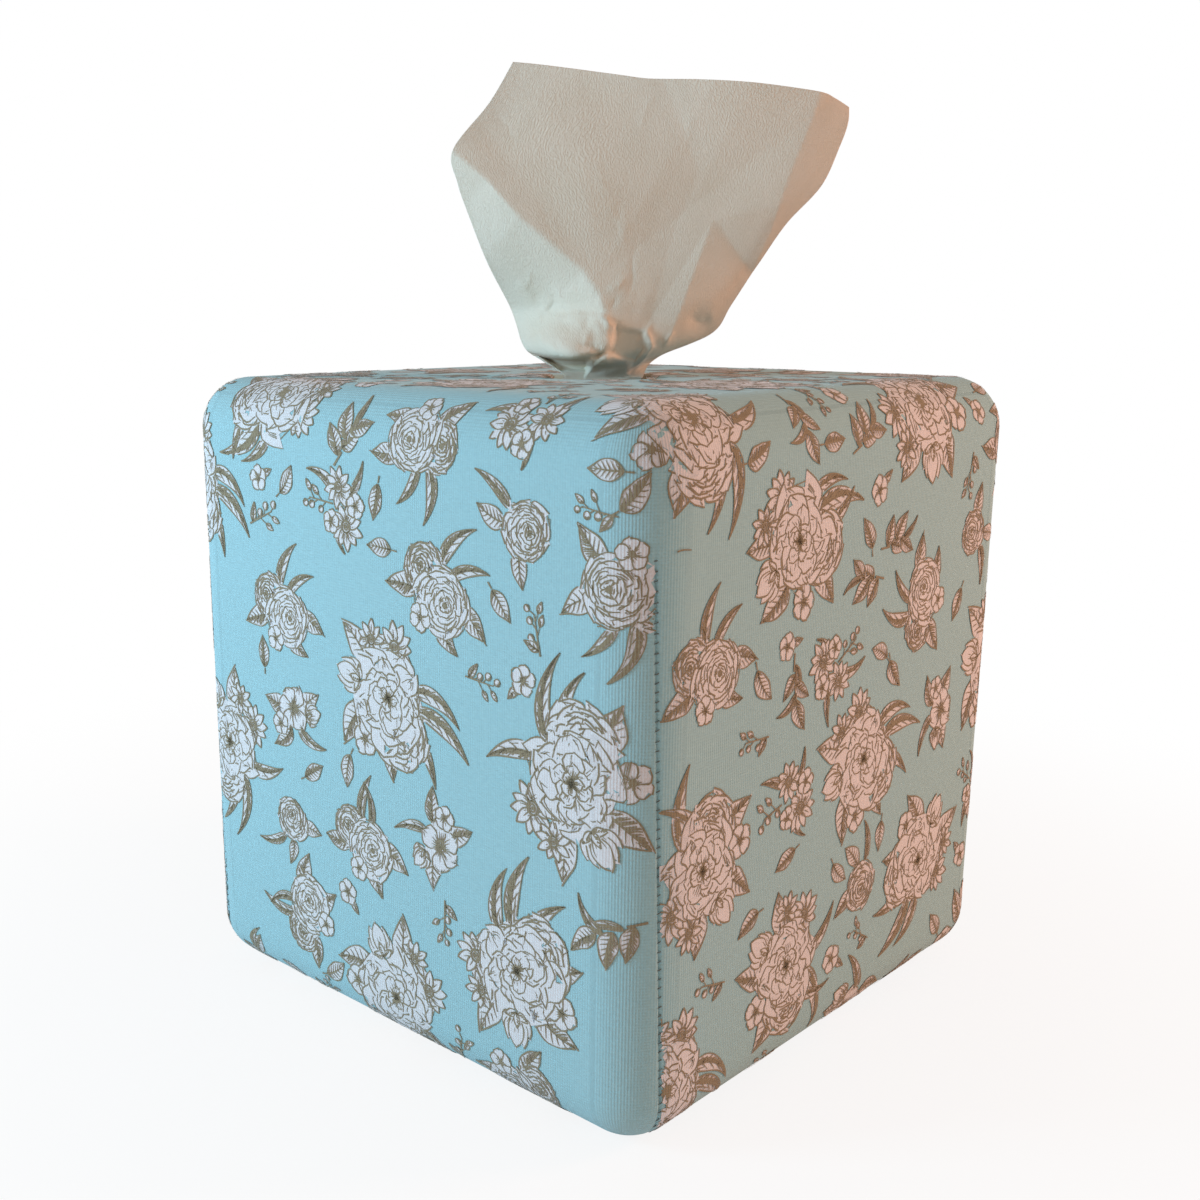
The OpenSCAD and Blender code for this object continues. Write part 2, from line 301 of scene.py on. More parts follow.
def roll_material():
    """Wound soft paper: fine turns round its axis, a little uneven, and faint mottling."""
    mat, nodes, links, shader = node_material("wound_paper", (0.80, 0.77, 0.68), 0.95)
    place = add_node(nodes, "ShaderNodeTexCoord")
    turns = add_node(nodes, "ShaderNodeTexWave", wave_type="RINGS", rings_direction="Z")
    for name, value in (("Scale", 0.314 / (0.8 * MM)), ("Distortion", 1.5), ("Detail", 2.0), ("Detail Scale", 0.2)):
        turns.inputs[name].default_value = value
    mottle = add_node(nodes, "ShaderNodeTexNoise", in_2=600, in_3=6.0)
    ramp = colour_ramp(nodes, [(0.3, (0.74, 0.70, 0.60)), (0.7, (0.83, 0.80, 0.71))])
    height = add_node(nodes, "ShaderNodeMath", operation="ADD")
    bump = add_node(nodes, "ShaderNodeBump")
    bump.inputs["Strength"].default_value = 0.6
    bump.inputs["Distance"].default_value = 0.25 * MM
    for noise in (turns, mottle):
        links.new(place.outputs["Object"], noise.inputs["Vector"])
    links.new(mottle.outputs["Fac"], ramp.inputs["Fac"])
    links.new(ramp.outputs["Color"], shader.inputs["Base Color"])
    vary_roughness(nodes, links, shader, mottle, 0.85, 1.0)
    links.new(turns.outputs["Fac"], height.inputs[0])
    links.new(mottle.outputs["Fac"], height.inputs[1])
    links.new(height.outputs[0], bump.inputs["Height"])
    links.new(bump.outputs["Normal"], shader.inputs["Normal"])
    return mat


GROUND = cloth_material("cloth_ground", (0.385, 0.62, 0.66), (0.33, 0.55, 0.595))
PETAL = cloth_material("cloth_petal", (0.79, 0.78, 0.79), (0.70, 0.69, 0.70))
LINE = cloth_material("cloth_line", (0.33, 0.275, 0.18), (0.25, 0.205, 0.13))
THREAD = soft_material("thread", (0.20, 0.23, 0.22), (0.10, 0.12, 0.12), 4000, 0.05)
FOAM = soft_material("foam", (0.85, 0.82, 0.70), (0.72, 0.69, 0.58), 900, 0.4)
BOARD = soft_material("greyboard", (0.36, 0.33, 0.28), (0.27, 0.25, 0.21), 500, 0.15)
LINING = soft_material("lining_cloth", (0.80, 0.79, 0.75), (0.70, 0.69, 0.65), 1500, 0.15)
ROLL_PAPER = roll_material()


# Cover: four panels between the seams, the top round the hole, and the hem turned in below

def section_rows():
    """Section of the wall as (outward place from the core, height), from the hem up to the top."""
    inner = MOUTH - CORE
    rows = [(inner, z) for z in np.linspace(HEM_TOP, HEM_Z + 1.2, 7)]
    rows += [(inner + 0.15, HEM_Z + 0.5), (inner + 0.5, HEM_Z + 0.12)]
    first = math.asin((inner + 1.1) / EDGE_R)
    low, high = HEM_Z + EDGE_R, TOP - EDGE_R
    rows += [(EDGE_R * math.sin(a), low - EDGE_R * math.cos(a)) for a in np.linspace(first, math.pi / 2, 18)]
    rows += [(EDGE_R, z) for z in np.linspace(low, high, 60)[1:-1]]
    rows += [(EDGE_R * math.cos(a), high + EDGE_R * math.sin(a)) for a in np.linspace(0, math.pi / 2, 20)]
    return rows


def column_places(z):
    """Places round one side, from its left seam to its right seam, as (angle on the left corner, place
    along the flat, angle on the right corner)."""
    left_span = math.pi / 4 - seam_angle(z)
    right_span = math.pi / 4 + seam_angle(z)
    fine = np.array([0, 0.12, 0.25, 0.4, 0.6, 0.85, 1.2]) / EDGE_R
    left = np.concatenate([left_span - fine, np.linspace(left_span - fine[-1], 0, 6)[1:-1]])
    right = np.concatenate([np.linspace(0, right_span - fine[-1], 12)[1:-1], right_span - fine[::-1]])
    flat = np.linspace(-CORE, CORE, 46)
    return ([(a, -CORE, 0) for a in left] + [(0, x, 0) for x in flat] + [(0, CORE, a) for a in right])


def seam_dip(distance, z):
    """Fold of the cloth into the seam, open from the seam's upper end down."""
    opened = np.clip((SEAM_Z - z) / 4, 0, 1)
    return -SEAM_DEPTH * np.clip(1 - distance / (SEAM_W / 2), 0, 1) ** 2 * opened


def side_panel():
    rows = []
    for out, z in section_rows():
        row, dips = [], []
        places = column_places(min(z, SEAM_Z))
        last_left, last_right = places[0][0], places[-1][2]
        for left, x, right in places:
            angle = right - left
            row.append((x + out * math.sin(angle), -CORE - out * math.cos(angle), z))
            reach = (last_left - left) * EDGE_R if left > 0 else (last_right - right) * EDGE_R if right > 0 else 99
            dips.append(seam_dip(reach, z) if out > EDGE_R / 2 else 0)
        rows.append((row, dips))
    p = np.array([r for r, _ in rows])
    dip = np.array([d for _, d in rows])
    n = unit(p - core_point(p))
    out = p.copy()
    outer = p[..., 2] + 0 * dip > HEM_Z + 0.4
    swelling = fullness(p, n) * np.where(n[..., 2] < -0.6, 0, 1)
    lifted = p + n * (swelling + dip)[..., None]
    at_section = np.array([o for o, _ in section_rows()])[:, None] * np.ones(p.shape[1])[None, :]
    keep = outer & (at_section >= (MOUTH - CORE) + 1.0)
    top_part = p[..., 2] > TOP / 2
    out[keep | top_part] = lifted[keep | top_part]
    return p, out


def turned(points, quarter):
    c, s = round(math.cos(quarter * math.pi / 2)), round(math.sin(quarter * math.pi / 2))
    x, y, z = points[..., 0], points[..., 1], points[..., 2]
    return np.stack([c * x - s * y, s * x + c * y, z], axis=-1)


def make_cover():
    flat, shaped = side_panel()
    rows, columns = shaped.shape[:2]
    verts, faces, maps = [], [], []
    for quarter in range(4):
        faces += grid_faces(rows, columns, len(verts) * 0 + sum(len(v) for v in verts))
        turned_flat = turned(flat, quarter)
        verts.append(turned(shaped, quarter).reshape(-1, 3))
        maps.append(cloth_map(turned_flat, unit(turned_flat - core_point(turned_flat))).reshape(-1, 2))
    # Top: from the square edge of the core in to the lip, and down the lip into the hole
    edge = [turned(flat[-1], quarter) for quarter in range(4)]
    edge = np.concatenate([e[:-1] for e in edge])
    distinct = np.linalg.norm(np.roll(edge, -1, 0) - edge, axis=1) > 1e-6
    edge = edge[distinct]
    rim = unit(edge[:, :2]) * (HOLE_R + LIP_R)
    loops = []
    for share in np.linspace(0, 1, 22):
        xy = edge[:, :2] * (1 - share) + rim * share
        p = np.c_[xy, np.full(len(xy), TOP)]
        up = np.tile([0.0, 0.0, 1.0], (len(p), 1))
        loops.append(p + up * fullness(p, up)[:, None])
    for a in np.linspace(0, math.pi / 2, 10)[1:]:
        loops.append(np.c_[unit(rim) * (HOLE_R + LIP_R - LIP_R * math.sin(a)),
                           np.full(len(rim), TOP - LIP_R + LIP_R * math.cos(a))])
    loops.append(np.c_[unit(rim) * HOLE_R, np.full(len(rim), TOP - LIP_R - 4)])
    top = np.array(loops)
    faces += grid_faces(len(loops), top.shape[1], sum(len(v) for v in verts), close=True)
    verts.append(top.reshape(-1, 3))
    maps.append(top.reshape(-1, 3)[:, :2])
    piece = new_piece("padded_cover", np.concatenate(verts), faces, [GROUND],
                      uvs=np.concatenate(maps))
    weld(piece)
    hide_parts("printed_cover")
    return piece


def seam_point(quarter, z, lift):
    """Place on a seam, and the way that crosses it there."""
    angle = seam_angle(z) - math.pi / 4
    heading = -math.pi / 2 + angle
    low, high = HEM_Z + EDGE_R, TOP - EDGE_R
    tilt = math.acos(np.clip((low - z) / EDGE_R, 0, 1)) if z < low else math.pi / 2
    out = EDGE_R * math.sin(tilt) + lift
    p = np.array([-CORE + out * math.cos(heading), -CORE + out * math.sin(heading), z])
    across = np.array([-math.sin(heading), math.cos(heading), 0.0])
    up = np.array([0.0, 0.0, 1.0])
    n = np.array([math.cos(heading), math.sin(heading), 0.0])
    return turned(p, quarter), turned(across, quarter), turned(n, quarter), up


def make_thread():
    """Small stitches across every corner seam."""
    rnd = np.random.default_rng(3)
    verts, faces = [], []
    ring = np.linspace(0, 2 * math.pi, 7)[:-1]
    for quarter in range(4):
        z = SEAM_Z - 1.2
        while z > HEM_Z + EDGE_R * 0.45:
            p, across, n, up = seam_point(quarter, z, -0.16)
            lean = up * rnd.uniform(0.12, 0.4)
            half, thick = rnd.uniform(0.42, 0.6), rnd.uniform(0.09, 0.12)
            start = len(verts)
            for share, wide in ((-1, 0.4), (-0.6, 1), (0, 1.15), (0.6, 1), (1, 0.4)):
                middle = p + (across + lean) * half * share + n * 0.16 * (1 - share * share)
                for a in ring:
                    verts.append(middle + thick * wide * (up * math.cos(a) + n * math.sin(a)))
            count = len(ring)
            faces += grid_faces(5, count, start, close=True)
            faces += [tuple(range(start + count - 1, start - 1, -1)), tuple(range(start + 4 * count, start + 5 * count))]
            z -= rnd.uniform(1.6, 2.0)
    piece = new_piece("seam_thread", verts, faces, [THREAD])
    weld(piece, 0.0001)


# Floral print. Each motif is drawn flat, in millimetres round its middle, as petals and lines,
# and is then laid on the cloth along the shortest ways from its middle.

class Motif:
    def __init__(self, seed):
        self.random = np.random.default_rng(seed)
        self.shapes = []
        self.lines = []

    def line(self, points, widths):
        points = np.asarray(points, float)
        self.lines.append((points, np.asarray(widths, float) * np.ones(len(points)), len(self.shapes)))

    def blade(self, base, heading, length, width, full=0.8, point=1.0, bend=0.0, frill=0.0, hatch=5, reach=0.5,
              ink=0.25, rim=0.27, ribs=0, shade=0, folds=0, nicks=0):
        """One petal or leaf. full sets where it is widest, point how sharp it ends and frill its ragged rim.
        It is inked with lines from its base, ribs, folds across it, nicks from its tip, and shade on one side."""
        rnd = self.random
        rows, columns = (7, 3) if length < 4.5 else (9, 5)
        fine = 7 if length < 3 else 9 if length < 6 else 14
        phase = rnd.uniform(0, 2 * math.pi, 4)

        def place(along, across):
            along, across = np.broadcast_arrays(np.asarray(along, float), np.asarray(across, float))
            half = np.sin(math.pi * np.clip(along, 0, 1) ** full) ** point * width / 2
            ragged = 1 + frill * (0.07 * np.sin(8 * across + phase[0]) + 0.05 * np.sin(19 * across + phase[1])) * along ** 3
            x = along * length * ragged
            y = half * across * (1 + 0.05 * np.sin(7 * along + phase[2]) + 0.06 * frill * np.sin(15 * along + phase[3]))
            turn = heading + bend * along
            return np.stack([base[0] + np.cos(turn) * x - np.sin(turn) * y,
                             base[1] + np.sin(turn) * x + np.cos(turn) * y], axis=-1)

        s, t = np.linspace(0, 1, rows), np.linspace(-1, 1, columns)
        self.shapes.append(place(s[:, None], t[None, :]))
        s = np.linspace(0, 1, fine)
        for side in (-1, 1):
            self.line(place(s, side), rim * (0.7 + 0.5 * np.sin(4 * s + phase[3]) ** 2))
        for k in range(hatch):
            across = ((k + 0.5) / hatch * 2 - 1) * 0.86 + rnd.uniform(-0.07, 0.07)
            end = reach * rnd.uniform(0.5, 1.15) * (1 - 0.25 * abs(across))
            self.line(place(np.linspace(0.03, end, 5), across), ink * np.linspace(1.7, 0.3, 5))
        for k in range(nicks):
            across = rnd.uniform(-0.75, 0.75)
            self.line(place(np.linspace(0.97, 0.97 - rnd.uniform(0.1, 0.28), 3), across), ink * np.linspace(0.9, 0.25, 3))
        for k in range(folds):
            level = 0.38 + 0.52 * (k + rnd.uniform(0.2, 0.8)) / folds
            middle, reach_out = rnd.uniform(-0.35, 0.35), rnd.uniform(0.3, 0.55)
            across = np.linspace(middle - reach_out, middle + reach_out, 6)
            self.line(place(level - 0.1 * across ** 2, across), ink * np.sin(np.linspace(0.35, math.pi - 0.35, 6)))
        if ribs:
            self.line(place(s * 0.97, 0.03 * np.sin(5 * s)), ink * np.linspace(1.7, 0.6, fine))
        for k in range(ribs):
            start = 0.08 + 0.76 * k / ribs
            for side in (-1, 1):
                across = np.linspace(0, rnd.uniform(0.72, 0.9), 4)
                self.line(place(start + 0.17 * across, side * across), ink * np.linspace(1.1, 0.4, 4))
        for k in range(shade):
            start = 0.04 + 0.84 * (k + rnd.uniform(0, 0.5)) / shade
            across = np.linspace(0.02, rnd.uniform(0.5, 0.93), 3)
            self.line(place(start + 0.2 * across, across), 0.27 * np.linspace(1.3, 0.7, 3))

    def disc(self, centre, radius, dark=0, shine=0):
        a = np.linspace(0, 2 * math.pi, 10)
        ring = np.stack([np.cos(a), np.sin(a)], axis=-1)
        self.shapes.append(np.asarray(centre) + radius * ring[:, None, :] * np.array([0.02, 1.0])[None, :, None])
        self.line(np.asarray(centre) + radius * ring, 0.24)
        for k in range(dark):
            r = radius * (k + 0.5) / dark
            self.line(np.asarray(centre) + r * ring * self.random.uniform(0.9, 1.1, (10, 1)), radius / dark * 0.7)
        for k in range(shine):
            arc = np.linspace(-0.6, 1.9, 5)
            r = radius * (0.85 - 0.3 * k)
            self.line(np.stack([centre[0] + r * np.cos(arc), centre[1] + r * np.sin(arc)], axis=-1),
                      0.3 * np.sin(np.linspace(0.3, 2.8, 5)))

    def stem(self, points, width=0.42):
        points = np.asarray(points, float)
        s = np.linspace(0, len(points) - 1, 3 * len(points))
        self.line(np.stack([np.interp(s, range(len(points)), points[:, k]) for k in (0, 1)], axis=-1),
                  width * np.linspace(1.1, 0.7, len(s)))

    def broad_leaf(self, base, heading, length, shade=False):
        rnd = self.random
        self.blade(base, heading, length, length * rnd.uniform(0.46, 0.56), full=rnd.uniform(0.72, 0.85),
                   bend=rnd.uniform(-0.4, 0.4), frill=0.5, hatch=3, reach=0.3, ribs=6 if length > 6 else 4,
                   shade=int(length * 1.6) if shade else 0, nicks=3)

    def long_leaf(self, base, heading, length):
        rnd = self.random
        self.blade(base, heading, length, length * rnd.uniform(0.2, 0.26), full=rnd.uniform(0.62, 0.75),
                   bend=rnd.choice([-1, 1]) * rnd.uniform(0.35, 0.75), hatch=3, reach=0.7, ribs=int(length / 2.6),
                   shade=int(length * 1.7))

    def rose(self, centre, radius, heading=0.0, lean=0.22):
        """Rings of broad petals, outer ones first, the inner ones nearer to one side."""
        rnd = self.random
        for ring, count in enumerate((7, 6, 6, 5, 4, 3)):
            share = 1 - ring / 6.3
            away = lean * radius * (1 - share)
            middle = (centre[0] + away * math.cos(heading), centre[1] + away * math.sin(heading))
            for k in range(count):
                a = heading + 2 * math.pi * (k + 0.5 * (ring % 2) + rnd.uniform(-0.13, 0.13)) / count
                length = radius * share * rnd.uniform(0.9, 1.06)
                self.blade(middle, a, length, length * 1.25 * (6 / count) ** 0.5, full=1.5, point=0.6, frill=0.7,
                           hatch=6 if length > 3 else 2, reach=0.66, folds=3 if length > 3 else 1, ink=0.25,
                           nicks=2 if length > 4 else 0, bend=rnd.uniform(-0.2, 0.2))
        self.disc(middle, radius * 0.08, dark=1)

    def peony(self, centre, radius, heading=0.0):
        """Few broad ragged petals outside, many small ones crowded within."""
        rnd = self.random
        for ring, (count, share, width) in enumerate(((8, 1.0, 1.0), (8, 0.8, 0.9), (8, 0.62, 0.8), (6, 0.42, 0.85),
                                                      (4, 0.24, 0.9))):
            for k in range(count):
                a = heading + 2 * math.pi * (k + 0.5 * (ring % 2) + rnd.uniform(-0.2, 0.2)) / count
                length = radius * share * rnd.uniform(0.86, 1.1)
                self.blade(centre, a, length, length * width * rnd.uniform(0.8, 1.1), full=1.6, point=0.55, frill=1.5,
                           hatch=7, reach=0.75, ink=0.25, nicks=5 if ring < 2 else 1, bend=rnd.uniform(-0.35, 0.35))

    def daisy(self, centre, radius, count=11):
        rnd = self.random
        for k in range(count):
            a = 2 * math.pi * (k + rnd.uniform(-0.15, 0.15)) / count
            self.blade(centre, a, radius * rnd.uniform(0.88, 1.06), radius * 0.42, full=1.0, point=0.85, hatch=3,
                       reach=0.65, ink=0.24)
        self.disc(centre, radius * 0.27, dark=3)

    def open_flower(self, centre, radius, heading=0.0, count=6):
        rnd = self.random
        for k in range(count):
            a = heading + 2 * math.pi * (k + rnd.uniform(-0.1, 0.1)) / count
            self.blade(centre, a, radius * rnd.uniform(0.92, 1.06), radius * 0.95, full=1.35, point=0.7, frill=1.0,
                       hatch=6, reach=0.6, nicks=4, bend=rnd.uniform(-0.2, 0.2))
        for k in range(9):
            a = heading + 2 * math.pi * k / 9
            r = radius * rnd.uniform(0.2, 0.34)
            self.line([(centre[0], centre[1]), (centre[0] + r * math.cos(a), centre[1] + r * math.sin(a))], 0.22)
        self.disc(centre, radius * 0.13, dark=2)

    def blossom(self, centre, radius, heading=0.0):
        for k in range(5):
            self.blade(centre, heading + 2 * math.pi * k / 5, radius, radius * 0.95, full=1.5, point=0.6, frill=0.6,
                       hatch=4, reach=0.5, ink=0.22)
        self.disc(centre, radius * 0.18, dark=1)

    def bud(self, centre, radius, heading=0.0):
        for k, spread in enumerate((-0.7, 0.7, -0.3, 0.3, 0.0)):
            self.blade(centre, heading + spread, radius * (1 + 0.1 * k), radius * 0.75, full=1.1, point=0.75, frill=0.5,
                       hatch=4, reach=0.6, ink=0.24)
        for spread in (-1.2, 1.2, 0.1):
            self.blade(centre, heading + spread, radius * 0.62, radius * 0.3, hatch=1, shade=5)

    def berries(self, base, heading, length):
        """Twig with small dark berries and leaves on both sides."""
        rnd = self.random
        c, s = math.cos(heading), math.sin(heading)
        self.stem([base, (base[0] + length * c, base[1] + length * s)], 0.36)
        for k in range(5):
            along = length * (0.3 + 0.17 * k)
            a = heading + (-1) ** k * rnd.uniform(0.5, 1.0)
            r = rnd.uniform(1.3, 2.2)
            start = (base[0] + along * c, base[1] + along * s)
            end = (start[0] + r * math.cos(a), start[1] + r * math.sin(a))
            self.stem([start, end], 0.24)
            if k % 2:
                self.blade(end, a, 2.6, 1.2, hatch=1, shade=3)
            else:
                self.disc(end, rnd.uniform(0.65, 0.85), shine=2)


def around(angle, distance):
    return (distance * math.cos(angle), distance * math.sin(angle))


def grand_bunch(seed):
    """Peony and rose over one another, with long leaves on one side and daisies on the other."""
    m = Motif(seed)
    rnd = m.random
    turn = rnd.uniform(0, 2 * math.pi)
    for a, length in ((0.1, 15), (0.55, 12), (-0.4, 12)):
        m.long_leaf(around(turn + a, 6), turn + a + rnd.uniform(-0.2, 0.2), length)
    for a in (2.5, 3.7, 4.9):
        m.broad_leaf(around(turn + a, 6.5), turn + a + rnd.uniform(-0.3, 0.3), rnd.uniform(8, 10.5), shade=a > 3)
    m.daisy(around(turn + 1.6, 9.5), 4.6)
    m.daisy(around(turn + 2.2, 10.5), 3.6, count=9)
    m.blossom(around(turn + 4.3, 10.5), 3.2)
    m.rose(around(turn + 5.4, 6.5), 7.0, heading=turn + 5.4)
    m.peony((0, 0), 9.2, heading=turn)
    m.bud(around(turn + 3.1, 7.5), 4.6, heading=turn + 3.1)
    return m


def rose_pair(seed):
    m = Motif(seed)
    rnd = m.random
    turn = rnd.uniform(0, 2 * math.pi)
    m.long_leaf(around(turn + 1.9, 4), turn + 1.9, 12)
    m.long_leaf(around(turn + 1.3, 4), turn + 1.2, 10)
    for a in (3.6, 5.3, 0.2):
        m.broad_leaf(around(turn + a, 4.5), turn + a + rnd.uniform(-0.3, 0.3), rnd.uniform(7, 9.5), shade=rnd.random() < 0.5)
    m.rose(around(turn + 2.8, 5.2), 5.2, heading=turn + 2.8)
    m.rose(around(turn + 5.9, 1.5), 6.8, heading=turn)
    m.blossom(around(turn + 4.5, 6.4), 2.8)
    return m


def single_rose(seed):
    m = Motif(seed)
    rnd = m.random
    turn = rnd.uniform(0, 2 * math.pi)
    m.long_leaf(around(turn + 2.6, 3.5), turn + 2.5, rnd.uniform(9, 12))
    for a in (3.4, 5.0):
        m.broad_leaf(around(turn + a, 3.5), turn + a, rnd.uniform(6.5, 9), shade=rnd.random() < 0.5)
    m.rose(around(turn, 1.5), 5.9, heading=turn)
    return m


def daisy_group(seed):
    m = Motif(seed)
    rnd = m.random
    turn = rnd.uniform(0, 2 * math.pi)
    for a in (0.4, 2.9, 4.4):
        m.long_leaf(around(turn + a, 2), turn + a, rnd.uniform(7, 10))
    m.berries(around(turn + 5.4, 2), turn + 5.4, 7)
    m.daisy(around(turn + 1.2, 4.2), 4.8)
    m.daisy(around(turn + 4.0, 3.4), 4.2, count=10)
    m.blossom(around(turn + 2.4, 4.6), 2.6)
    m.blossom(around(turn + 0.1, 4.2), 2.4)
    return m


def open_pair(seed):
    m = Motif(seed)
    rnd = m.random
    turn = rnd.uniform(0, 2 * math.pi)
    for a in (0.7, 2.6, 4.1):
        m.broad_leaf(around(turn + a, 2.5), turn + a, rnd.uniform(7.5, 10), shade=a > 2)
    m.long_leaf(around(turn + 5.3, 2), turn + 5.3, 10)
    m.open_flower(around(turn + 1.6, 2.4), 5.4, heading=turn)
    m.blossom(around(turn + 3.4, 5.4), 2.8)
    m.bud(around(turn + 0.2, 4.5), 3.6, heading=turn + 0.2)
    return m


def leaf_spray(seed):
    m = Motif(seed)
    rnd = m.random
    turn = rnd.uniform(0, 2 * math.pi)
    m.stem([around(turn + math.pi, 8), around(turn + math.pi + 0.25, 3), around(turn, 2)], 0.45)
    for along, side in ((-5.5, 1), (-3.5, -1), (-1.5, 1), (0.5, -1), (2, 0)):
        base = (along * math.cos(turn), along * math.sin(turn))
        if rnd.random() < 0.5:
            m.broad_leaf(base, turn + side * rnd.uniform(0.6, 0.9), rnd.uniform(6, 8), shade=True)
        else:
            m.long_leaf(base, turn + side * rnd.uniform(0.5, 0.8), rnd.uniform(7, 9))
    return m


def twig(seed):
    m = Motif(seed)
    turn = m.random.uniform(0, 2 * math.pi)
    m.berries(around(turn + math.pi, 4.5), turn, 8)
    m.blade(around(turn + math.pi, 3.5), turn + 1.0, 4.2, 1.8, hatch=1, ribs=3, shade=5)
    return m


def single_leaf(seed):
    m = Motif(seed)
    turn = m.random.uniform(0, 2 * math.pi)
    m.stem([around(turn + math.pi, 5), around(turn + math.pi, 3)], 0.36)
    m.broad_leaf(around(turn + math.pi, 3.2), turn, 7.5, shade=m.random.random() < 0.5)
    return m


def small_blossom(seed):
    m = Motif(seed)
    a = m.random.uniform(0, 2 * math.pi)
    m.blade(around(a, 1.5), a, 4.2, 1.8, hatch=1, ribs=3, shade=5)
    m.blossom((0, 0), 3.1, heading=a)
    return m


# Kinds of motif: how each is drawn, how many versions it has, how many are laid at most and how large
KINDS = [(grand_bunch, 4, 30, 1.2), (rose_pair, 3, 34, 1.1), (open_pair, 3, 40, 1.05), (daisy_group, 3, 44, 1.05),
         (single_rose, 4, 60, 1.0), (leaf_spray, 4, 60, 1.0), (twig, 4, 80, 1.0), (single_leaf, 4, 120, 1.0),
         (small_blossom, 3, 260, 1.0)]
MOTIF_GAP = 1.8


def random_places(rnd, count):
    """Points spread evenly over the walls and the top."""
    p = np.c_[rnd.uniform(-HALF, HALF, count), rnd.uniform(-HALF, HALF, count), rnd.uniform(1, TOP, count)]
    face = rnd.integers(0, 5, count)
    for k, (axis, value) in enumerate(((0, -HALF), (0, HALF), (1, -HALF), (1, HALF), (2, TOP))):
        p[face == k, axis] = value
    return onto_block(p)


def mark_points(motif):
    """Points that stand for a motif's whole shape when motifs are kept apart."""
    points = np.concatenate([g[::2].reshape(-1, 2) for g in motif.shapes])
    cells = np.unique(np.round(points / 2.2), axis=0)
    return cells * 2.2


def lay_out(drawings):
    """Places of all motifs: the large ones first, each clear of those before it and of the hole."""
    rnd = np.random.default_rng(23)
    centres, radii, marks, chosen = np.zeros((0, 3)), np.zeros(0), [], []
    for kind, (draw, versions, most, scale) in enumerate(KINDS):
        laid_of_kind = 0
        points, normals = random_places(rnd, 900 if kind < 5 else 1500)
        for p, n in zip(points, normals):
            version = int(rnd.integers(versions))
            heading, size = rnd.uniform(0, 2 * math.pi), scale * rnd.uniform(0.92, 1.08)
            flat = mark_points(drawings[kind, version][0]) * size
            radius = np.linalg.norm(flat, axis=1).max()
            if p[2] > TOP - 1 and math.hypot(p[0], p[1]) < HOLE_R + 3:
                continue
            near = np.flatnonzero(np.linalg.norm(centres - p, axis=1) < radii + radius + MOTIF_GAP)
            mine = laid(flat, p, n, heading, 6)[0]
            others = np.concatenate([marks[i] for i in near]) if len(near) else np.zeros((0, 3))
            if len(others) and np.linalg.norm(mine[:, None] - others[None], axis=2).min() < MOTIF_GAP:
                continue
            centres, radii = np.vstack([centres, p]), np.append(radii, radius)
            marks.append(mine)
            chosen.append((kind, version, p, n, heading, size))
            laid_of_kind += 1
            if laid_of_kind >= most:
                break
    return chosen


def laid(flat, centre, normal, heading, steps=14):
    """Points at the ends of straight ways over the block, from centre, for flat places round it."""
    side = unit(np.cross([0.0, 0.0, 1.0], normal)) if abs(normal[2]) < 0.9 else np.array([1.0, 0.0, 0.0])
    up = unit(np.cross(normal, side))
    side = unit(np.cross(up, normal))
    c, s = math.cos(heading), math.sin(heading)
    across, along = flat[:, 0] * c - flat[:, 1] * s, flat[:, 0] * s + flat[:, 1] * c
    way = across[:, None] * side + along[:, None] * up
    step = np.linalg.norm(way, axis=1, keepdims=True) / steps
    way = unit(way)
    p = np.tile(centre, (len(flat), 1))
    n = np.tile(normal, (len(flat), 1))
    for _ in range(steps):
        p, n = onto_block(p + way * step)
        way = unit(way - (way * n).sum(1, keepdims=True) * n)
    return p, n


def inside(points, polygon):
    """Which points lie inside a polygon."""
    x, y = points[:, 0], points[:, 1]
    x1, y1 = polygon[:, 0], polygon[:, 1]
    x2, y2 = np.roll(x1, -1), np.roll(y1, -1)
    crosses = (y1[None] > y[:, None]) != (y2[None] > y[:, None])
    slope = (x2 - x1)[None] * (y[:, None] - y1[None]) / np.where(y2 == y1, 1e-9, y2 - y1)[None] + x1[None]
    return (crosses & (x[:, None] < slope)).sum(1) % 2 == 1


def rim_of(grid):
    return np.concatenate([grid[:, 0], grid[::-1, -1]])


def turns(corners):
    """How a flat face runs: 1 counterclockwise, so that it faces out of the cloth, -1 clockwise, 0 crossed."""
    a, b, c, d = corners
    halves = [(q - p)[0] * (r - p)[1] - (q - p)[1] * (r - p)[0] for p, q, r in ((a, b, c), (a, c, d))]
    return 0 if halves[0] * halves[1] < 0 else 1 if sum(halves) > 0 else -1


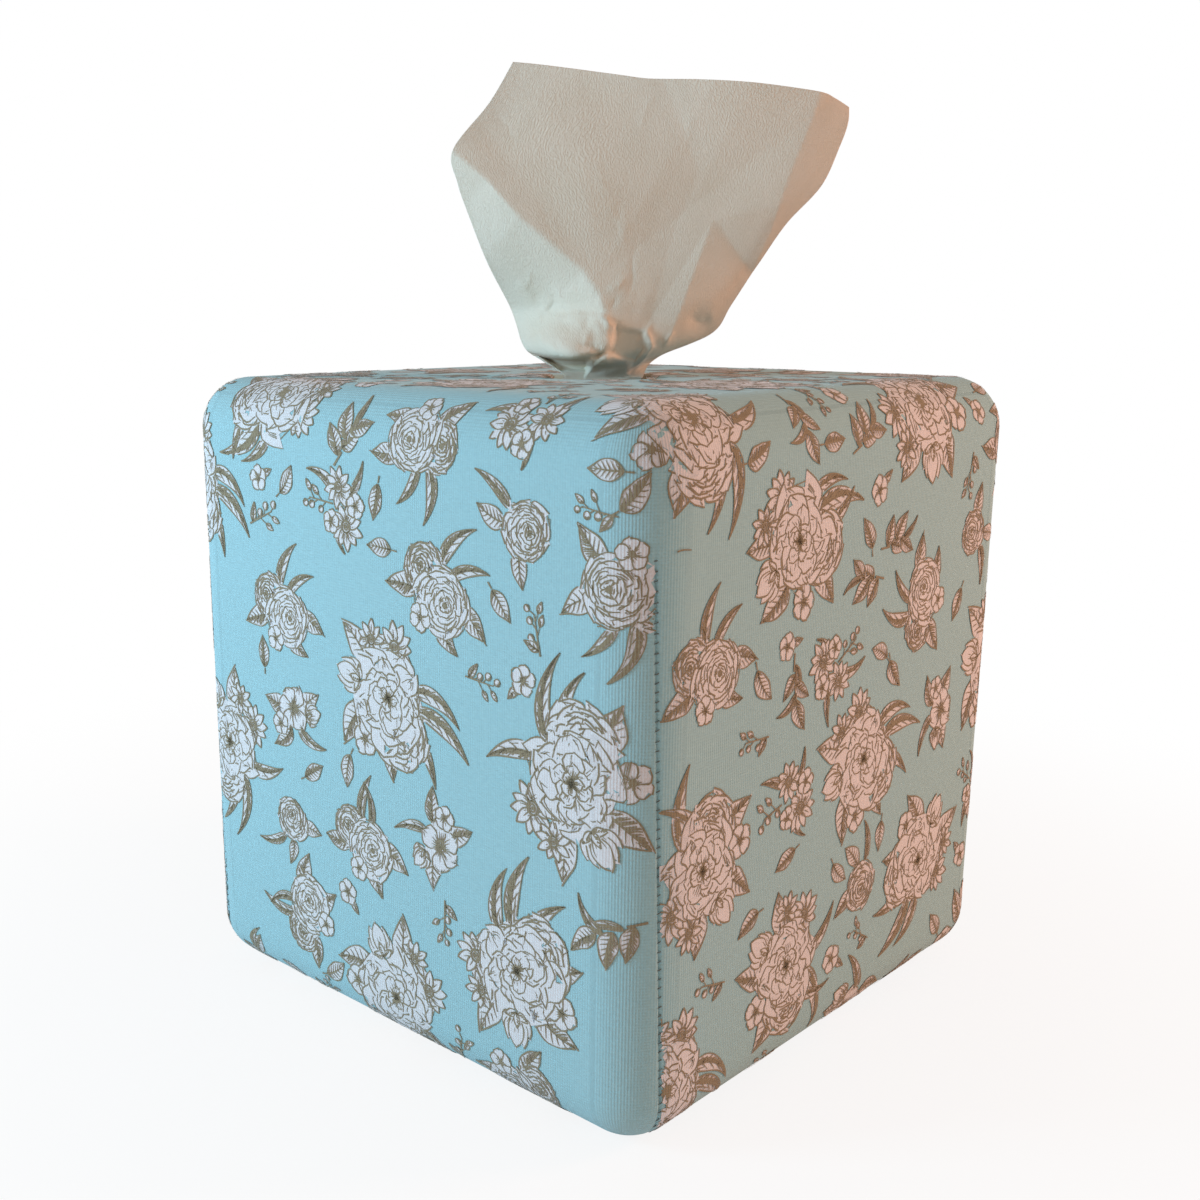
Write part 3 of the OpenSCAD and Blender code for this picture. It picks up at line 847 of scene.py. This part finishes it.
def flatten(motif):
    """The motif's petals and its lines that show, as (points, layer, faces) of two meshes."""
    rims = [rim_of(g) for g in motif.shapes]
    lows = np.array([r.min(0) for r in rims])
    highs = np.array([r.max(0) for r in rims])
    petals, petal_layers, petal_faces = [], [], []
    for k, grid in enumerate(motif.shapes):
        start = sum(len(p) for p in petals)
        flat = grid.reshape(-1, 2)
        hidden = np.zeros(len(flat), bool)
        for j in range(k + 1, len(rims)):
            if (lows[j] < flat.max(0)).all() and (highs[j] > flat.min(0)).all():
                hidden |= inside(flat, rims[j])
        quads = [f for f in grid_faces(grid.shape[0], grid.shape[1]) if not all(hidden[list(f)])]
        quads = [f[::way] for f, way in ((f, turns(flat[list(f)])) for f in quads) if way]
        petals.append(flat)
        petal_layers.append(np.full(len(flat), k))
        petal_faces += [tuple(start + i for i in f) for f in quads]
    lines, line_faces = [], []
    start = 0
    for points, widths, layer in motif.lines:
        hidden = np.zeros(len(points), bool)
        for j in range(layer, len(rims)):
            if (lows[j] < points.max(0)).all() and (highs[j] > points.min(0)).all():
                hidden |= inside(points, rims[j])
        tangent = unit(np.gradient(points, axis=0))
        across = np.c_[-tangent[:, 1], tangent[:, 0]] * widths[:, None] / 2
        lines += [points + across, points - across]
        count = len(points)
        line_faces += [(start + i, start + count + i, start + count + i + 1, start + i + 1)
                       for i in range(count - 1) if not (hidden[i] or hidden[i + 1])]
        start += 2 * count
    return (np.concatenate(petals), np.concatenate(petal_layers), np.array(petal_faces),
            np.concatenate(lines), np.array(line_faces))


def cut_at_seams(p, faces, home):
    """Faces on the motif's own side of the seams, and above the hem."""
    side = panel_of(p)
    away = (side != home) & (side >= 0) if home >= 0 else np.zeros(len(p), bool)
    low = p[:, 2] < HEM_Z + 0.25
    lost = away[faces].any(1) | low[faces].any(1)
    return faces[~lost]


def make_print():
    drawings = {}
    for kind, (draw, versions, most, scale) in enumerate(KINDS):
        for version in range(versions):
            motif = draw(100 * kind + version)
            drawings[kind, version] = (motif, flatten(motif))
    petals = {k: [[], [], [], [], 0] for k in range(5)}
    lines = {k: [[], [], [], [], 0] for k in range(5)}
    for kind, version, centre, normal, heading, size in lay_out(drawings):
        flat, layers, faces, strokes, stroke_faces = drawings[kind, version][1]
        home = int(panel_of(centre[None])[0])
        face = int(np.argmax(np.abs(normal)) * 2 + (normal[np.argmax(np.abs(normal))] > 0)) if normal[2] < 0.7 else 4
        for target, points, quads, lift in (
            (petals[face], flat, faces, PETAL_LIFT + (TOP_PETAL_LIFT - PETAL_LIFT) * layers / max(layers.max(), 60)),
            (lines[face], strokes, stroke_faces, np.full(len(strokes), LINE_LIFT)),
        ):
            p, n = laid(points * size, centre, normal, heading)
            if home < 0:
                sides = panel_of(p)
                below = sides[sides >= 0]
                home_here = int(np.bincount(below).argmax()) if len(below) else -1
            else:
                home_here = home
            kept = cut_at_seams(p, quads, home_here)
            if not len(kept):
                continue
            out, normals = dressed(p, n, lift)
            used, renumbered = np.unique(kept, return_inverse=True)
            target[0].append(out[used])
            target[1].append(renumbered.reshape(-1, 4) + target[4])
            target[2].append(normals[used])
            target[3].append(cloth_map(p, n)[used])
            target[4] += len(used)
    names = ["left", "right", "front", "back", "top"]
    for group, label, material in ((petals, "petals", PETAL), (lines, "lines", LINE)):
        for k, name in enumerate(names):
            verts, faces, normals, maps, count = group[k]
            if not count:
                continue
            new_piece(f"print_{label}_{name}", np.concatenate(verts), np.concatenate(faces), [material],
                      normals=np.concatenate(normals), uvs=np.concatenate(maps))


# Drawn paper. Its places are shares of the opened fan: sideways, towards the back, and up. Creases
# are lines in the photograph's 1200 x 1200 frame, put on the fan's own upright plane.

FAN = np.array([57.0, 20.0, 66.0])
FAN_TURN = math.radians(-46)
PAPER_T = 0.28
PLEATS = 7
PLEAT_DEPTH = 3.0
# How far from the middle the pleats have room: in the hole, and in the roll's bore
HOLE_REACH = 11.8
BORE_REACH = 23.0
NECK_ROWS = [(16.4, 4.9, -85.0), (16.4, 4.9, -62.0), (8.2, 5.0, -40.0), (0.2, 8.8, -4.0)]
OPEN_ROWS = [
    [(-.15, 0, 0), (-.122, 0, 0), (-.094, 0, 0), (-.066, 0, 0), (-.038, 0, 0), (-.01, 0, 0),
     (.018, 0, 0), (.046, 0, 0), (.074, 0, 0), (.102, 0, 0), (.13, 0, 0), (.158, 0, 0)],
    [(-.24, .1, .05), (-.2, 0, .042), (-.14, -.06, .035), (-.07, -.08, .03), (-.01, -.08, .03), (.035, -.12, .035),
     (.07, -.14, .035), (.1, -.14, .04), (.135, -.1, .045), (.17, .02, .055), (.195, .1, .06), (.22, .2, .065)],
    [(-0.315, 0.3, 0.1), (-0.27, 0.02, 0.095), (-0.18, -0.44, 0.085), (-0.075, -0.54, 0.075), (0.03, -0.48, 0.08), (0.09, -0.42, 0.09),
     (0.14, -0.38, 0.105), (0.2, -0.33, 0.115), (0.263, -0.27, 0.126), (0.334, -0.2, 0.129), (0.381, -0.14, 0.135), (0.42, -0.1, 0.146)],
    [(-0.365, 0.2, 0.225), (-0.304, -0.06, 0.225), (-0.21, -0.24, 0.22), (-0.095, -0.36, 0.22), (0.03, -0.37, 0.22), (0.115, -0.345, 0.22),
     (0.18, -0.32, 0.22), (0.255, -0.29, 0.22), (0.35, -0.25, 0.22), (0.418, -0.21, 0.233), (0.46, -0.17, 0.237), (0.492, -0.15, 0.241)],
    [(-0.46, -0.08, 0.38), (-0.375, -0.13, 0.38), (-0.265, -0.17, 0.38), (-0.099, -0.2, 0.38), (0.05, -0.22, 0.38), (0.14, -0.22, 0.38),
     (0.23, -0.215, 0.38), (0.319, -0.21, 0.38), (0.425, -0.195, 0.379), (0.524, -0.18, 0.377), (0.563, -0.165, 0.379), (0.598, -0.15, 0.381)],
    [(-0.535, -0.09, 0.54), (-0.42, -0.11, 0.54), (-0.294, -0.13, 0.53), (-0.12, -0.15, 0.53), (0.051, -0.16, 0.53), (0.17, -0.165, 0.53),
     (0.28, -0.17, 0.53), (0.388, -0.17, 0.529), (0.517, -0.17, 0.529), (0.602, -0.165, 0.509), (0.649, -0.155, 0.507), (0.695, -0.145, 0.505)],
    [(-0.576, -0.055, 0.641), (-0.464, -0.07, 0.641), (-0.331, -0.09, 0.633), (-0.155, -0.12, 0.634), (0.038, -0.14, 0.631), (0.172, -0.15, 0.63),
     (0.294, -0.16, 0.63), (0.413, -0.165, 0.63), (0.557, -0.175, 0.626), (0.678, -0.18, 0.624), (0.753, -0.175, 0.624), (0.823, -0.165, 0.625)],
    [(-0.59, -0.01, 0.74), (-0.491, -0.03, 0.741), (-0.355, -0.05, 0.736), (-0.18, -0.08, 0.736), (0.03, -0.11, 0.731), (0.169, -0.125, 0.728),
     (0.299, -0.14, 0.727), (0.427, -0.155, 0.725), (0.573, -0.175, 0.727), (0.71, -0.19, 0.729), (0.799, -0.19, 0.738), (0.886, -0.18, 0.749)],
    [(-0.449, 0.03, 0.891), (-0.38, 0.02, 0.889), (-0.28, -0.01, 0.881), (-0.119, -0.04, 0.873), (0.051, -0.08, 0.857), (0.16, -0.1, 0.856),
     (0.269, -0.12, 0.854), (0.395, -0.14, 0.852), (0.572, -0.17, 0.844), (0.745, -0.2, 0.832), (0.83, -0.2, 0.828), (0.912, -0.19, 0.82)],
    [(-0.36, 0.1, 1.018), (-0.295, 0.07, 1.012), (-0.199, 0.03, 1.001), (-0.069, -0.02, 0.985), (0.05, -0.08, 0.97), (0.14, -0.11, 0.959),
     (0.228, -0.135, 0.956), (0.354, -0.16, 0.952), (0.559, -0.2, 0.939), (0.786, -0.22, 0.914), (0.853, -0.21, 0.896), (0.913, -0.19, 0.87)],
]

# Folds right across the paper: points, which side bends back (1 right of the way drawn, -1 left), slope,
# reach in mm and softness
FOLDS = [
    ([(448, 148), (487, 181), (519, 218), (559, 252), (582, 272), (596, 294), (604, 316), (606, 378)], 1, 1.0, 30, 0.2),
    ([(478, 122), (520, 178), (556, 218), (584, 252), (604, 300)], 1, -0.09, 8, 0.8),
    ([(817, 92), (809, 118), (794, 155), (780, 192), (769, 229), (750, 272)], -1, 0.25, 20, 0.15),
    ([(655, 60), (672, 105), (690, 150), (697, 175), (674, 230), (655, 290), (630, 385)], -1, -0.12, 22, 0.25),
]
# Fans of flat facets round a point: the point, and by pixels towards which they spread, how steep each edge is
FANS = [
    ((604, 385), [((455, 110), 0), ((520, 70), .003), ((575, 70), -.002), ((625, 75), .001), ((700, 90), 0),
                  ((745, 90), -.003), ((790, 100), .001), ((850, 140), 0)]),
    ((711, 220), [((850, 190), 0), ((752, 278), .17), ((672, 322), -.03), ((640, 330), 0)]),
    ((600, 275), [((671, 154), 0), ((700, 200), .03), ((700, 300), 0)]),
]
# Sharp small ridges (forward) and valleys: points, height in mm, width in mm
RIDGES = [
    ([(642, 326), (648, 345), (642, 358), (632, 376)], -1.6, 0.6),
    ([(536, 316), (550, 304), (558, 296), (561, 286)], -0.7, 0.6),
    ([(541, 322), (553, 306), (556, 292)], 0.7, 0.5),
    ([(535, 328), (552, 318), (572, 314)], -0.6, 0.6),
    ([(497, 296), (508, 314), (521, 338)], -0.7, 0.7),
    ([(505, 300), (514, 318), (523, 338)], 0.6, 0.6),
    ([(590, 316), (604, 318), (612, 326)], -0.6, 0.5),
    ([(575, 340), (590, 346), (604, 344)], 0.5, 0.8),
    ([(600, 352), (606, 362), (604, 374)], -1.0, 0.7),
    ([(664, 352), (654, 362), (648, 376)], -0.8, 0.6),
    ([(684, 316), (698, 322), (710, 318)], 0.7, 1.4),
]
# Places that stand forward (-) or lie back in the gathers: outline, depth in mm and softness of its edge in mm
PATCHES = [
    ([(527, 352), (526, 342), (540, 330), (556, 316), (575, 312), (600, 315), (612, 326), (608, 344), (600, 349),
      (570, 356), (545, 355)], -1.2, 0.35),
    ([(530, 353), (546, 357), (570, 358), (600, 351), (592, 364), (584, 378), (555, 378)], 2.2, 0.4),
    ([(541, 357), (556, 358.5), (572, 359), (586, 357), (589, 366), (586, 371), (562, 371)], 6.5, 0.4),
    ([(587, 357), (612, 352), (629, 362), (628, 374), (606, 376), (590, 371)], -1.3, 0.8),
    ([(614, 328), (640, 332), (642, 348), (634, 360), (612, 354), (606, 350), (612, 344)], 1.1, 0.4),
]
# Small creases: how many, between which places sideways and up in mm, how long, how high, and how far turned
CREASES = [(46, (-18, 1), (2, 19), (2.5, 6), 0.55, 0.8), (12, (7, 15), (0.5, 8), (3, 6), 0.7, 0.3),
           (18, (-24, 34), (14, 50), (6, 13), 0.15, 0.25)]
# Shallow dents and swells: place, width in mm, depth in mm towards the back
DENTS = [((497, 128), 6, 0.4), ((545, 112), 7, -0.2), ((600, 200), 9, -0.4), ((694, 324), 2.6, 0.4), ((625, 345), 3, 1.0)]


def photo_ray(px, py):
    """Camera place and direction through a pixel of the photograph."""
    right, up, forward = CAMERA_AXES
    return forward + right * (px - PHOTO_CENTRE[0]) / FOCAL_PX - up * (py - PHOTO_CENTRE[1]) / FOCAL_PX


def pictured(px, py):
    """Place, sideways and up, on the fan's plane that the photograph shows at a pixel."""
    ex = np.array([math.cos(FAN_TURN), math.sin(FAN_TURN), 0])
    ey = np.array([-math.sin(FAN_TURN), math.cos(FAN_TURN), 0])
    start = CAMERA_PLACE - np.array([0, 0, TOP])
    way = photo_ray(px, py)
    p = start - way * (start @ ey) / (way @ ey)
    return np.array([p @ ex, p[2]])


def smooth_table(table, u, v):
    """Catmull-Rom through a table of points, with u along its rows and v across them."""
    def through(values, s):
        last = len(values) - 1
        i = np.minimum(np.floor(s).astype(int), last - 1)
        t = (s - i).reshape((-1,) + (1,) * (values.ndim - 1))
        a, b, c, d = (values[np.clip(i + k, 0, last)] for k in (-1, 0, 1, 2))
        return b + t * ((c - a) + t * ((2 * a - 5 * b + 4 * c - d) + t * (3 * b - a - 3 * c + d))) / 2
    by_row = np.stack([through(row, u) for row in table])
    return through(by_row, v)


def from_line(points, line):
    """Distance from a line, signed by its side (positive to its right), and how far along it is."""
    best = np.full(len(points), 1e9)
    signed = np.zeros(len(points))
    along = np.zeros(len(points))
    steps = np.r_[0, np.cumsum(np.linalg.norm(np.diff(line, axis=0), axis=1))]
    last = len(line) - 2
    for k in range(last + 1):
        a, way = line[k], line[k + 1] - line[k]
        length = np.linalg.norm(way)
        share = ((points - a) @ way) / length ** 2
        share = np.clip(share, -9 if k == 0 else 0, 9 if k == last else 1)
        near = a + share[:, None] * way
        gap = np.linalg.norm(points - near, axis=1)
        side = (points[:, 0] - a[0]) * way[1] - (points[:, 1] - a[1]) * way[0]
        here = gap < best
        best[here] = gap[here]
        signed[here] = np.sign(side[here]) * gap[here]
        along[here] = (steps[k] + share * length)[here]
    return signed, along, steps[-1]


def eased(share):
    share = np.clip(share, 0, 1)
    return share * share * (3 - 2 * share)


def folded(points, line, side, slope, reach, soft):
    """How far the paper past a fold bends back."""
    s = from_line(points, line)[0] * side
    ramp = (s + np.sqrt(s * s + soft * soft)) / 2
    return slope * reach * np.tanh(ramp / reach)


def fanned(points, apex, edges):
    """Depth of flat facets that spread from a point."""
    angles = [math.atan2(*(e - apex)[::-1]) for e, _ in edges]
    steep = [g for _, g in edges]
    order = np.argsort(angles)
    away = points - apex
    r = np.linalg.norm(away, axis=1)
    angle = np.arctan2(away[:, 1], away[:, 0])
    return r * np.interp(angle, np.array(angles)[order], np.array(steep)[order], left=0, right=0)


def ridged(points, line, height, width):
    """Depth of a sharp ridge or valley that fades at both ends."""
    signed, along, length = from_line(points, line)
    fade = eased(along / length / 0.4 + 0.15) * eased((length - along) / length / 0.4 + 0.15)
    return height * np.exp(-np.sqrt(signed ** 2 + 0.02) / width) * fade


def patched(points, outline, depth, soft):
    """Depth of a place that stands forward or lies back within an outline."""
    gap = np.full(len(points), 1e9)
    for a, b in zip(outline, np.roll(outline, -1, axis=0)):
        way = b - a
        share = np.clip(((points - a) @ way) / (way @ way), 0, 1)
        gap = np.minimum(gap, np.linalg.norm(points - a - share[:, None] * way, axis=1))
    within = np.where(inside(points, outline), gap, -gap)
    return depth * eased(within / (2 * soft) + 0.5)


def crumples(points):
    """Seeded small creases: short and sharp in the gathers, long and faint further up."""
    rnd = np.random.default_rng(5)
    depth = np.zeros(len(points))
    for count, xs, zs, lengths, high, turn in CREASES:
        for k in range(count):
            x, z = rnd.uniform(*xs), rnd.uniform(*zs)
            lean = math.atan2(z + 6, x) + rnd.normal(0, turn)
            length = rnd.uniform(*lengths)
            way = np.array([math.cos(lean), math.sin(lean)])
            mid = way[::-1] * np.array([-1, 1]) * rnd.uniform(-0.15, 0.15) * length
            line = np.array([(x, z), (x, z) + way * length / 2 + mid, (x, z) + way * length])
            depth += ridged(points, line, high * rnd.uniform(0.4, 1) * rnd.choice([-1, 1]), rnd.uniform(0.35, 0.8))
    return depth


def sheet_grid(rows, columns):
    table = np.array([[(m + (2 * k / 11 - 1) * half, 0, z) for k in range(12)] for m, half, z in NECK_ROWS]
                     + [[np.array(p) * FAN for p in row] for row in OPEN_ROWS])
    last_v = len(table) - 1
    u = np.linspace(0, 11, columns)
    spread = np.linspace(0, 1, rows)
    v = last_v * (0.35 * spread + 0.65 * spread ** 0.8)
    place = smooth_table(table, u, v)
    neck_v = len(NECK_ROWS) - 1
    flat = np.stack([place[..., 0], place[..., 2]], axis=-1).reshape(-1, 2)
    depth = np.zeros(len(flat))
    above_gathers = eased((flat[:, 1] - 5) / 11)
    for line, *shape in FOLDS:
        depth += folded(flat, np.array([pictured(*p) for p in line]), *shape) * above_gathers
    for apex, edges in FANS:
        depth += fanned(flat, pictured(*apex), [(pictured(*pixel), steep) for pixel, steep in edges])
    for line, height, width in RIDGES:
        depth += ridged(flat, np.array([pictured(*p) for p in line]), height, width)
    for outline, *shape in PATCHES:
        depth += patched(flat, np.array([pictured(*p) for p in outline]), *shape)
    for pixel, width, deep in DENTS:
        depth += deep * np.exp(-((flat - pictured(*pixel)) ** 2).sum(1) / width ** 2)
    depth += crumples(flat)
    opened = np.clip((place[..., 2] + 1) / 6, 0, 1)
    place[..., 1] += depth.reshape(place.shape[:2]) * opened
    # Pleats within the hole, of unequal widths
    phase = u / 11 * PLEATS + 0.3 * np.sin(u * 1.9) + 0.2 * np.sin(u * 4.3 + 1)
    zigzag = np.sin(math.pi / 2 * (np.abs(((phase + 0.25) % 1) - 0.5) * 4 - 1))
    share = eased((neck_v + 0.1 - v) / 0.6)[:, None]
    reach = HOLE_REACH + (BORE_REACH - HOLE_REACH) * eased((2.3 - v) / 0.8)[:, None]
    room = np.clip(1 - (place[..., 0] / reach) ** 2, 0.05, 1) ** 0.5
    deep = PLEAT_DEPTH * room
    place[..., 1] += deep * share * zigzag[None, :]
    return place


def paper_material():
    """Soft two-ply paper: short crepe dashes along the pull, fine fibres and faint mottling."""
    mat, nodes, links, shader = node_material("tissue_paper", (0.72, 0.68, 0.58), 0.95)
    shader.inputs["Sheen Weight"].default_value = 0.1
    uv = add_node(nodes, "ShaderNodeUVMap", uv_map="cloth")

    def noise_at(scale, detail, wander=0.0):
        stretch = add_node(nodes, "ShaderNodeMapping")
        stretch.inputs["Scale"].default_value = (*scale, 1)
        links.new(uv.outputs["UV"], stretch.inputs["Vector"])
        noise = add_node(nodes, "ShaderNodeTexNoise", in_2=1.0, in_3=detail)
        noise.inputs["Distortion"].default_value = wander
        links.new(stretch.outputs["Vector"], noise.inputs["Vector"])
        return noise

    dashes = noise_at((2.9, 1.3), 1.0, 0.3)
    sharp = add_node(nodes, "ShaderNodeMapRange", interpolation_type="SMOOTHSTEP")
    sharp.inputs["From Min"].default_value = 0.42
    sharp.inputs["From Max"].default_value = 0.62
    links.new(dashes.outputs["Fac"], sharp.inputs["Value"])
    fibres = noise_at((3.5, 2.2), 6.0)
    fine = add_node(nodes, "ShaderNodeMath", operation="MULTIPLY_ADD", in_1=0.8)
    links.new(fibres.outputs["Fac"], fine.inputs[0])
    links.new(sharp.outputs["Result"], fine.inputs[2])
    bump = add_node(nodes, "ShaderNodeBump")
    bump.inputs["Strength"].default_value = 0.6
    bump.inputs["Distance"].default_value = 0.1 * MM
    links.new(fine.outputs[0], bump.inputs["Height"])
    links.new(bump.outputs["Normal"], shader.inputs["Normal"])
    ramp = colour_ramp(nodes, [(0.3, (0.83, 0.755, 0.625)), (0.7, (0.88, 0.805, 0.68))])
    mottle = noise_at((0.12, 0.06), 5.0)
    links.new(mottle.outputs["Fac"], ramp.inputs["Fac"])
    vary_roughness(nodes, links, shader, mottle, 0.88, 1.0)
    links.new(ramp.outputs["Color"], shader.inputs["Base Color"])
    return mat


def make_sheet():
    rows, columns = 230, 200
    place = sheet_grid(rows, columns)
    du = np.gradient(place, axis=1)
    dv = np.gradient(place, axis=0)
    normal = unit(np.cross(du, dv))
    c, s = math.cos(FAN_TURN), math.sin(FAN_TURN)

    def stand(p):
        x, y = c * p[..., 0] - s * p[..., 1], s * p[..., 0] + c * p[..., 1]
        return np.stack([x, y, p[..., 2] + TOP], axis=-1).reshape(-1, 3)

    front, back = stand(place + normal * PAPER_T / 2), stand(place - normal * PAPER_T / 2)
    side = rows * columns
    faces = grid_faces(rows, columns)
    faces += [tuple(side + i for i in f[::-1]) for f in faces]
    rim = list(range(columns)) + [j * columns + columns - 1 for j in range(1, rows)]
    rim += [side - 1 - i for i in range(1, columns)] + [j * columns for j in range(rows - 2, 0, -1)]
    faces += [(rim[k], side + rim[k], side + rim[(k + 1) % len(rim)], rim[(k + 1) % len(rim)]) for k in range(len(rim))]
    across = np.linspace(0, 100, columns)[None, :] * np.ones((rows, 1))
    middle = np.linalg.norm(np.diff(place, axis=0), axis=-1).mean(1)
    along = np.r_[0, np.cumsum(middle)][:, None] * np.ones((1, columns))
    uvs = np.stack([across, along], axis=-1).reshape(-1, 2)
    piece = new_piece("drawn_paper", np.concatenate([front, back]), faces, [paper_material()],
                      uvs=np.concatenate([uvs, uvs]))
    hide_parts("drawn_sheet")
    return piece


# Stage, light and camera

def make_camera():
    data = bpy.data.cameras.new("camera")
    camera = bpy.data.objects.new("camera", data)
    bpy.context.scene.collection.objects.link(camera)
    right, up, forward = (Vector(axis) for axis in CAMERA_AXES)
    turn = Matrix((right, up, -forward)).transposed()
    camera.matrix_world = Matrix.Translation(Vector(CAMERA_PLACE) * MM) @ turn.to_4x4()
    data.sensor_width = 36
    data.lens = FOCAL_PX / PHOTO_PX * data.sensor_width
    data.shift_x = (PHOTO_PX / 2 - PHOTO_CENTRE[0]) / PHOTO_PX
    data.shift_y = (PHOTO_CENTRE[1] - PHOTO_PX / 2) / PHOTO_PX
    data.clip_start = 0.01
    bpy.context.scene.camera = camera


def area_light(name, place, target, size, power, colour):
    data = bpy.data.lights.new(name, "AREA")
    data.size = size
    data.energy = power
    data.color = colour
    lamp = bpy.data.objects.new(name, data)
    lamp.location = place
    lamp.rotation_euler = (Vector(target) - Vector(place)).to_track_quat("-Z", "Y").to_euler()
    bpy.context.scene.collection.objects.link(lamp)


def make_stage():
    size = 6.0
    mesh = bpy.data.meshes.new("floor")
    mesh.from_pydata([(-size, -size, 0), (size, -size, 0), (size, size, 0), (-size, size, 0)], [], [(0, 1, 2, 3)])
    floor = bpy.data.objects.new("floor", mesh)
    bpy.context.scene.collection.objects.link(floor)
    mat, nodes, links, shader = node_material("floor", (0.9, 0.9, 0.9), 0.95)
    # Seen by the camera, the floor turns to the white of the backdrop away from the object
    white = add_node(nodes, "ShaderNodeEmission")
    path = add_node(nodes, "ShaderNodeLightPath")
    place = add_node(nodes, "ShaderNodeNewGeometry")
    far = add_node(nodes, "ShaderNodeVectorMath", operation="LENGTH")
    links.new(place.outputs["Position"], far.inputs[0])
    share = add_node(nodes, "ShaderNodeMapRange", interpolation_type="SMOOTHSTEP")
    for name, value in (("From Min", 0.06), ("From Max", 0.3), ("To Min", 0.86), ("To Max", 1.0)):
        share.inputs[name].default_value = value
    links.new(far.outputs["Value"], share.inputs["Value"])
    seen = add_node(nodes, "ShaderNodeMath", operation="MULTIPLY")
    links.new(path.outputs["Is Camera Ray"], seen.inputs[0])
    links.new(share.outputs["Result"], seen.inputs[1])
    mixed = add_node(nodes, "ShaderNodeMixShader")
    links.new(seen.outputs[0], mixed.inputs["Fac"])
    links.new(shader.outputs[0], mixed.inputs[1])
    links.new(white.outputs[0], mixed.inputs[2])
    links.new(mixed.outputs[0], nodes["Material Output"].inputs["Surface"])
    mesh.materials.append(mat)
    world = bpy.data.worlds.new("studio")
    world.use_nodes = True
    bpy.context.scene.world = world
    nodes, links = world.node_tree.nodes, world.node_tree.links
    back = nodes["Background"]
    path = add_node(nodes, "ShaderNodeLightPath")
    seen = add_node(nodes, "ShaderNodeMath", operation="MAXIMUM")
    links.new(path.outputs["Is Camera Ray"], seen.inputs[0])
    links.new(path.outputs["Is Glossy Ray"], seen.inputs[1])
    strength = add_node(nodes, "ShaderNodeMapRange")
    strength.inputs["To Min"].default_value = WORLD_LEVEL
    strength.inputs["To Max"].default_value = 1.0
    links.new(seen.outputs[0], strength.inputs["Value"])
    links.new(strength.outputs["Result"], back.inputs["Strength"])
    warm = add_node(nodes, "ShaderNodeMix", data_type="RGBA")
    warm.inputs["A"].default_value = (1.0, 0.78, 0.66, 1)
    warm.inputs["B"].default_value = (1, 1, 1, 1)
    links.new(seen.outputs[0], warm.inputs["Factor"])
    links.new(warm.outputs["Result"], back.inputs["Color"])


WORLD_LEVEL = 0.45


def make_lights():
    aim = (0, 0, 0.1)
    area_light("left_light", (-0.469, 0.287, 0.25), aim, 0.16, 2.4, (0.43, 0.75, 0.97))
    area_light("right_light", (0.55, -0.50, 0.36), aim, 0.2, 3.4, (1.0, 0.49, 0.32))


for node, material in (("foam_", FOAM), ("board_", BOARD), ("lining", LINING), ("toilet_roll", ROLL_PAPER)):
    for name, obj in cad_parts.items():
        if name.startswith(node):
            obj.data.materials.clear()
            obj.data.materials.append(material)

bpy.context.scene.view_settings.view_transform = "Standard"
make_camera()
make_stage()
make_lights()
make_cover()
make_thread()
make_sheet()
make_print()
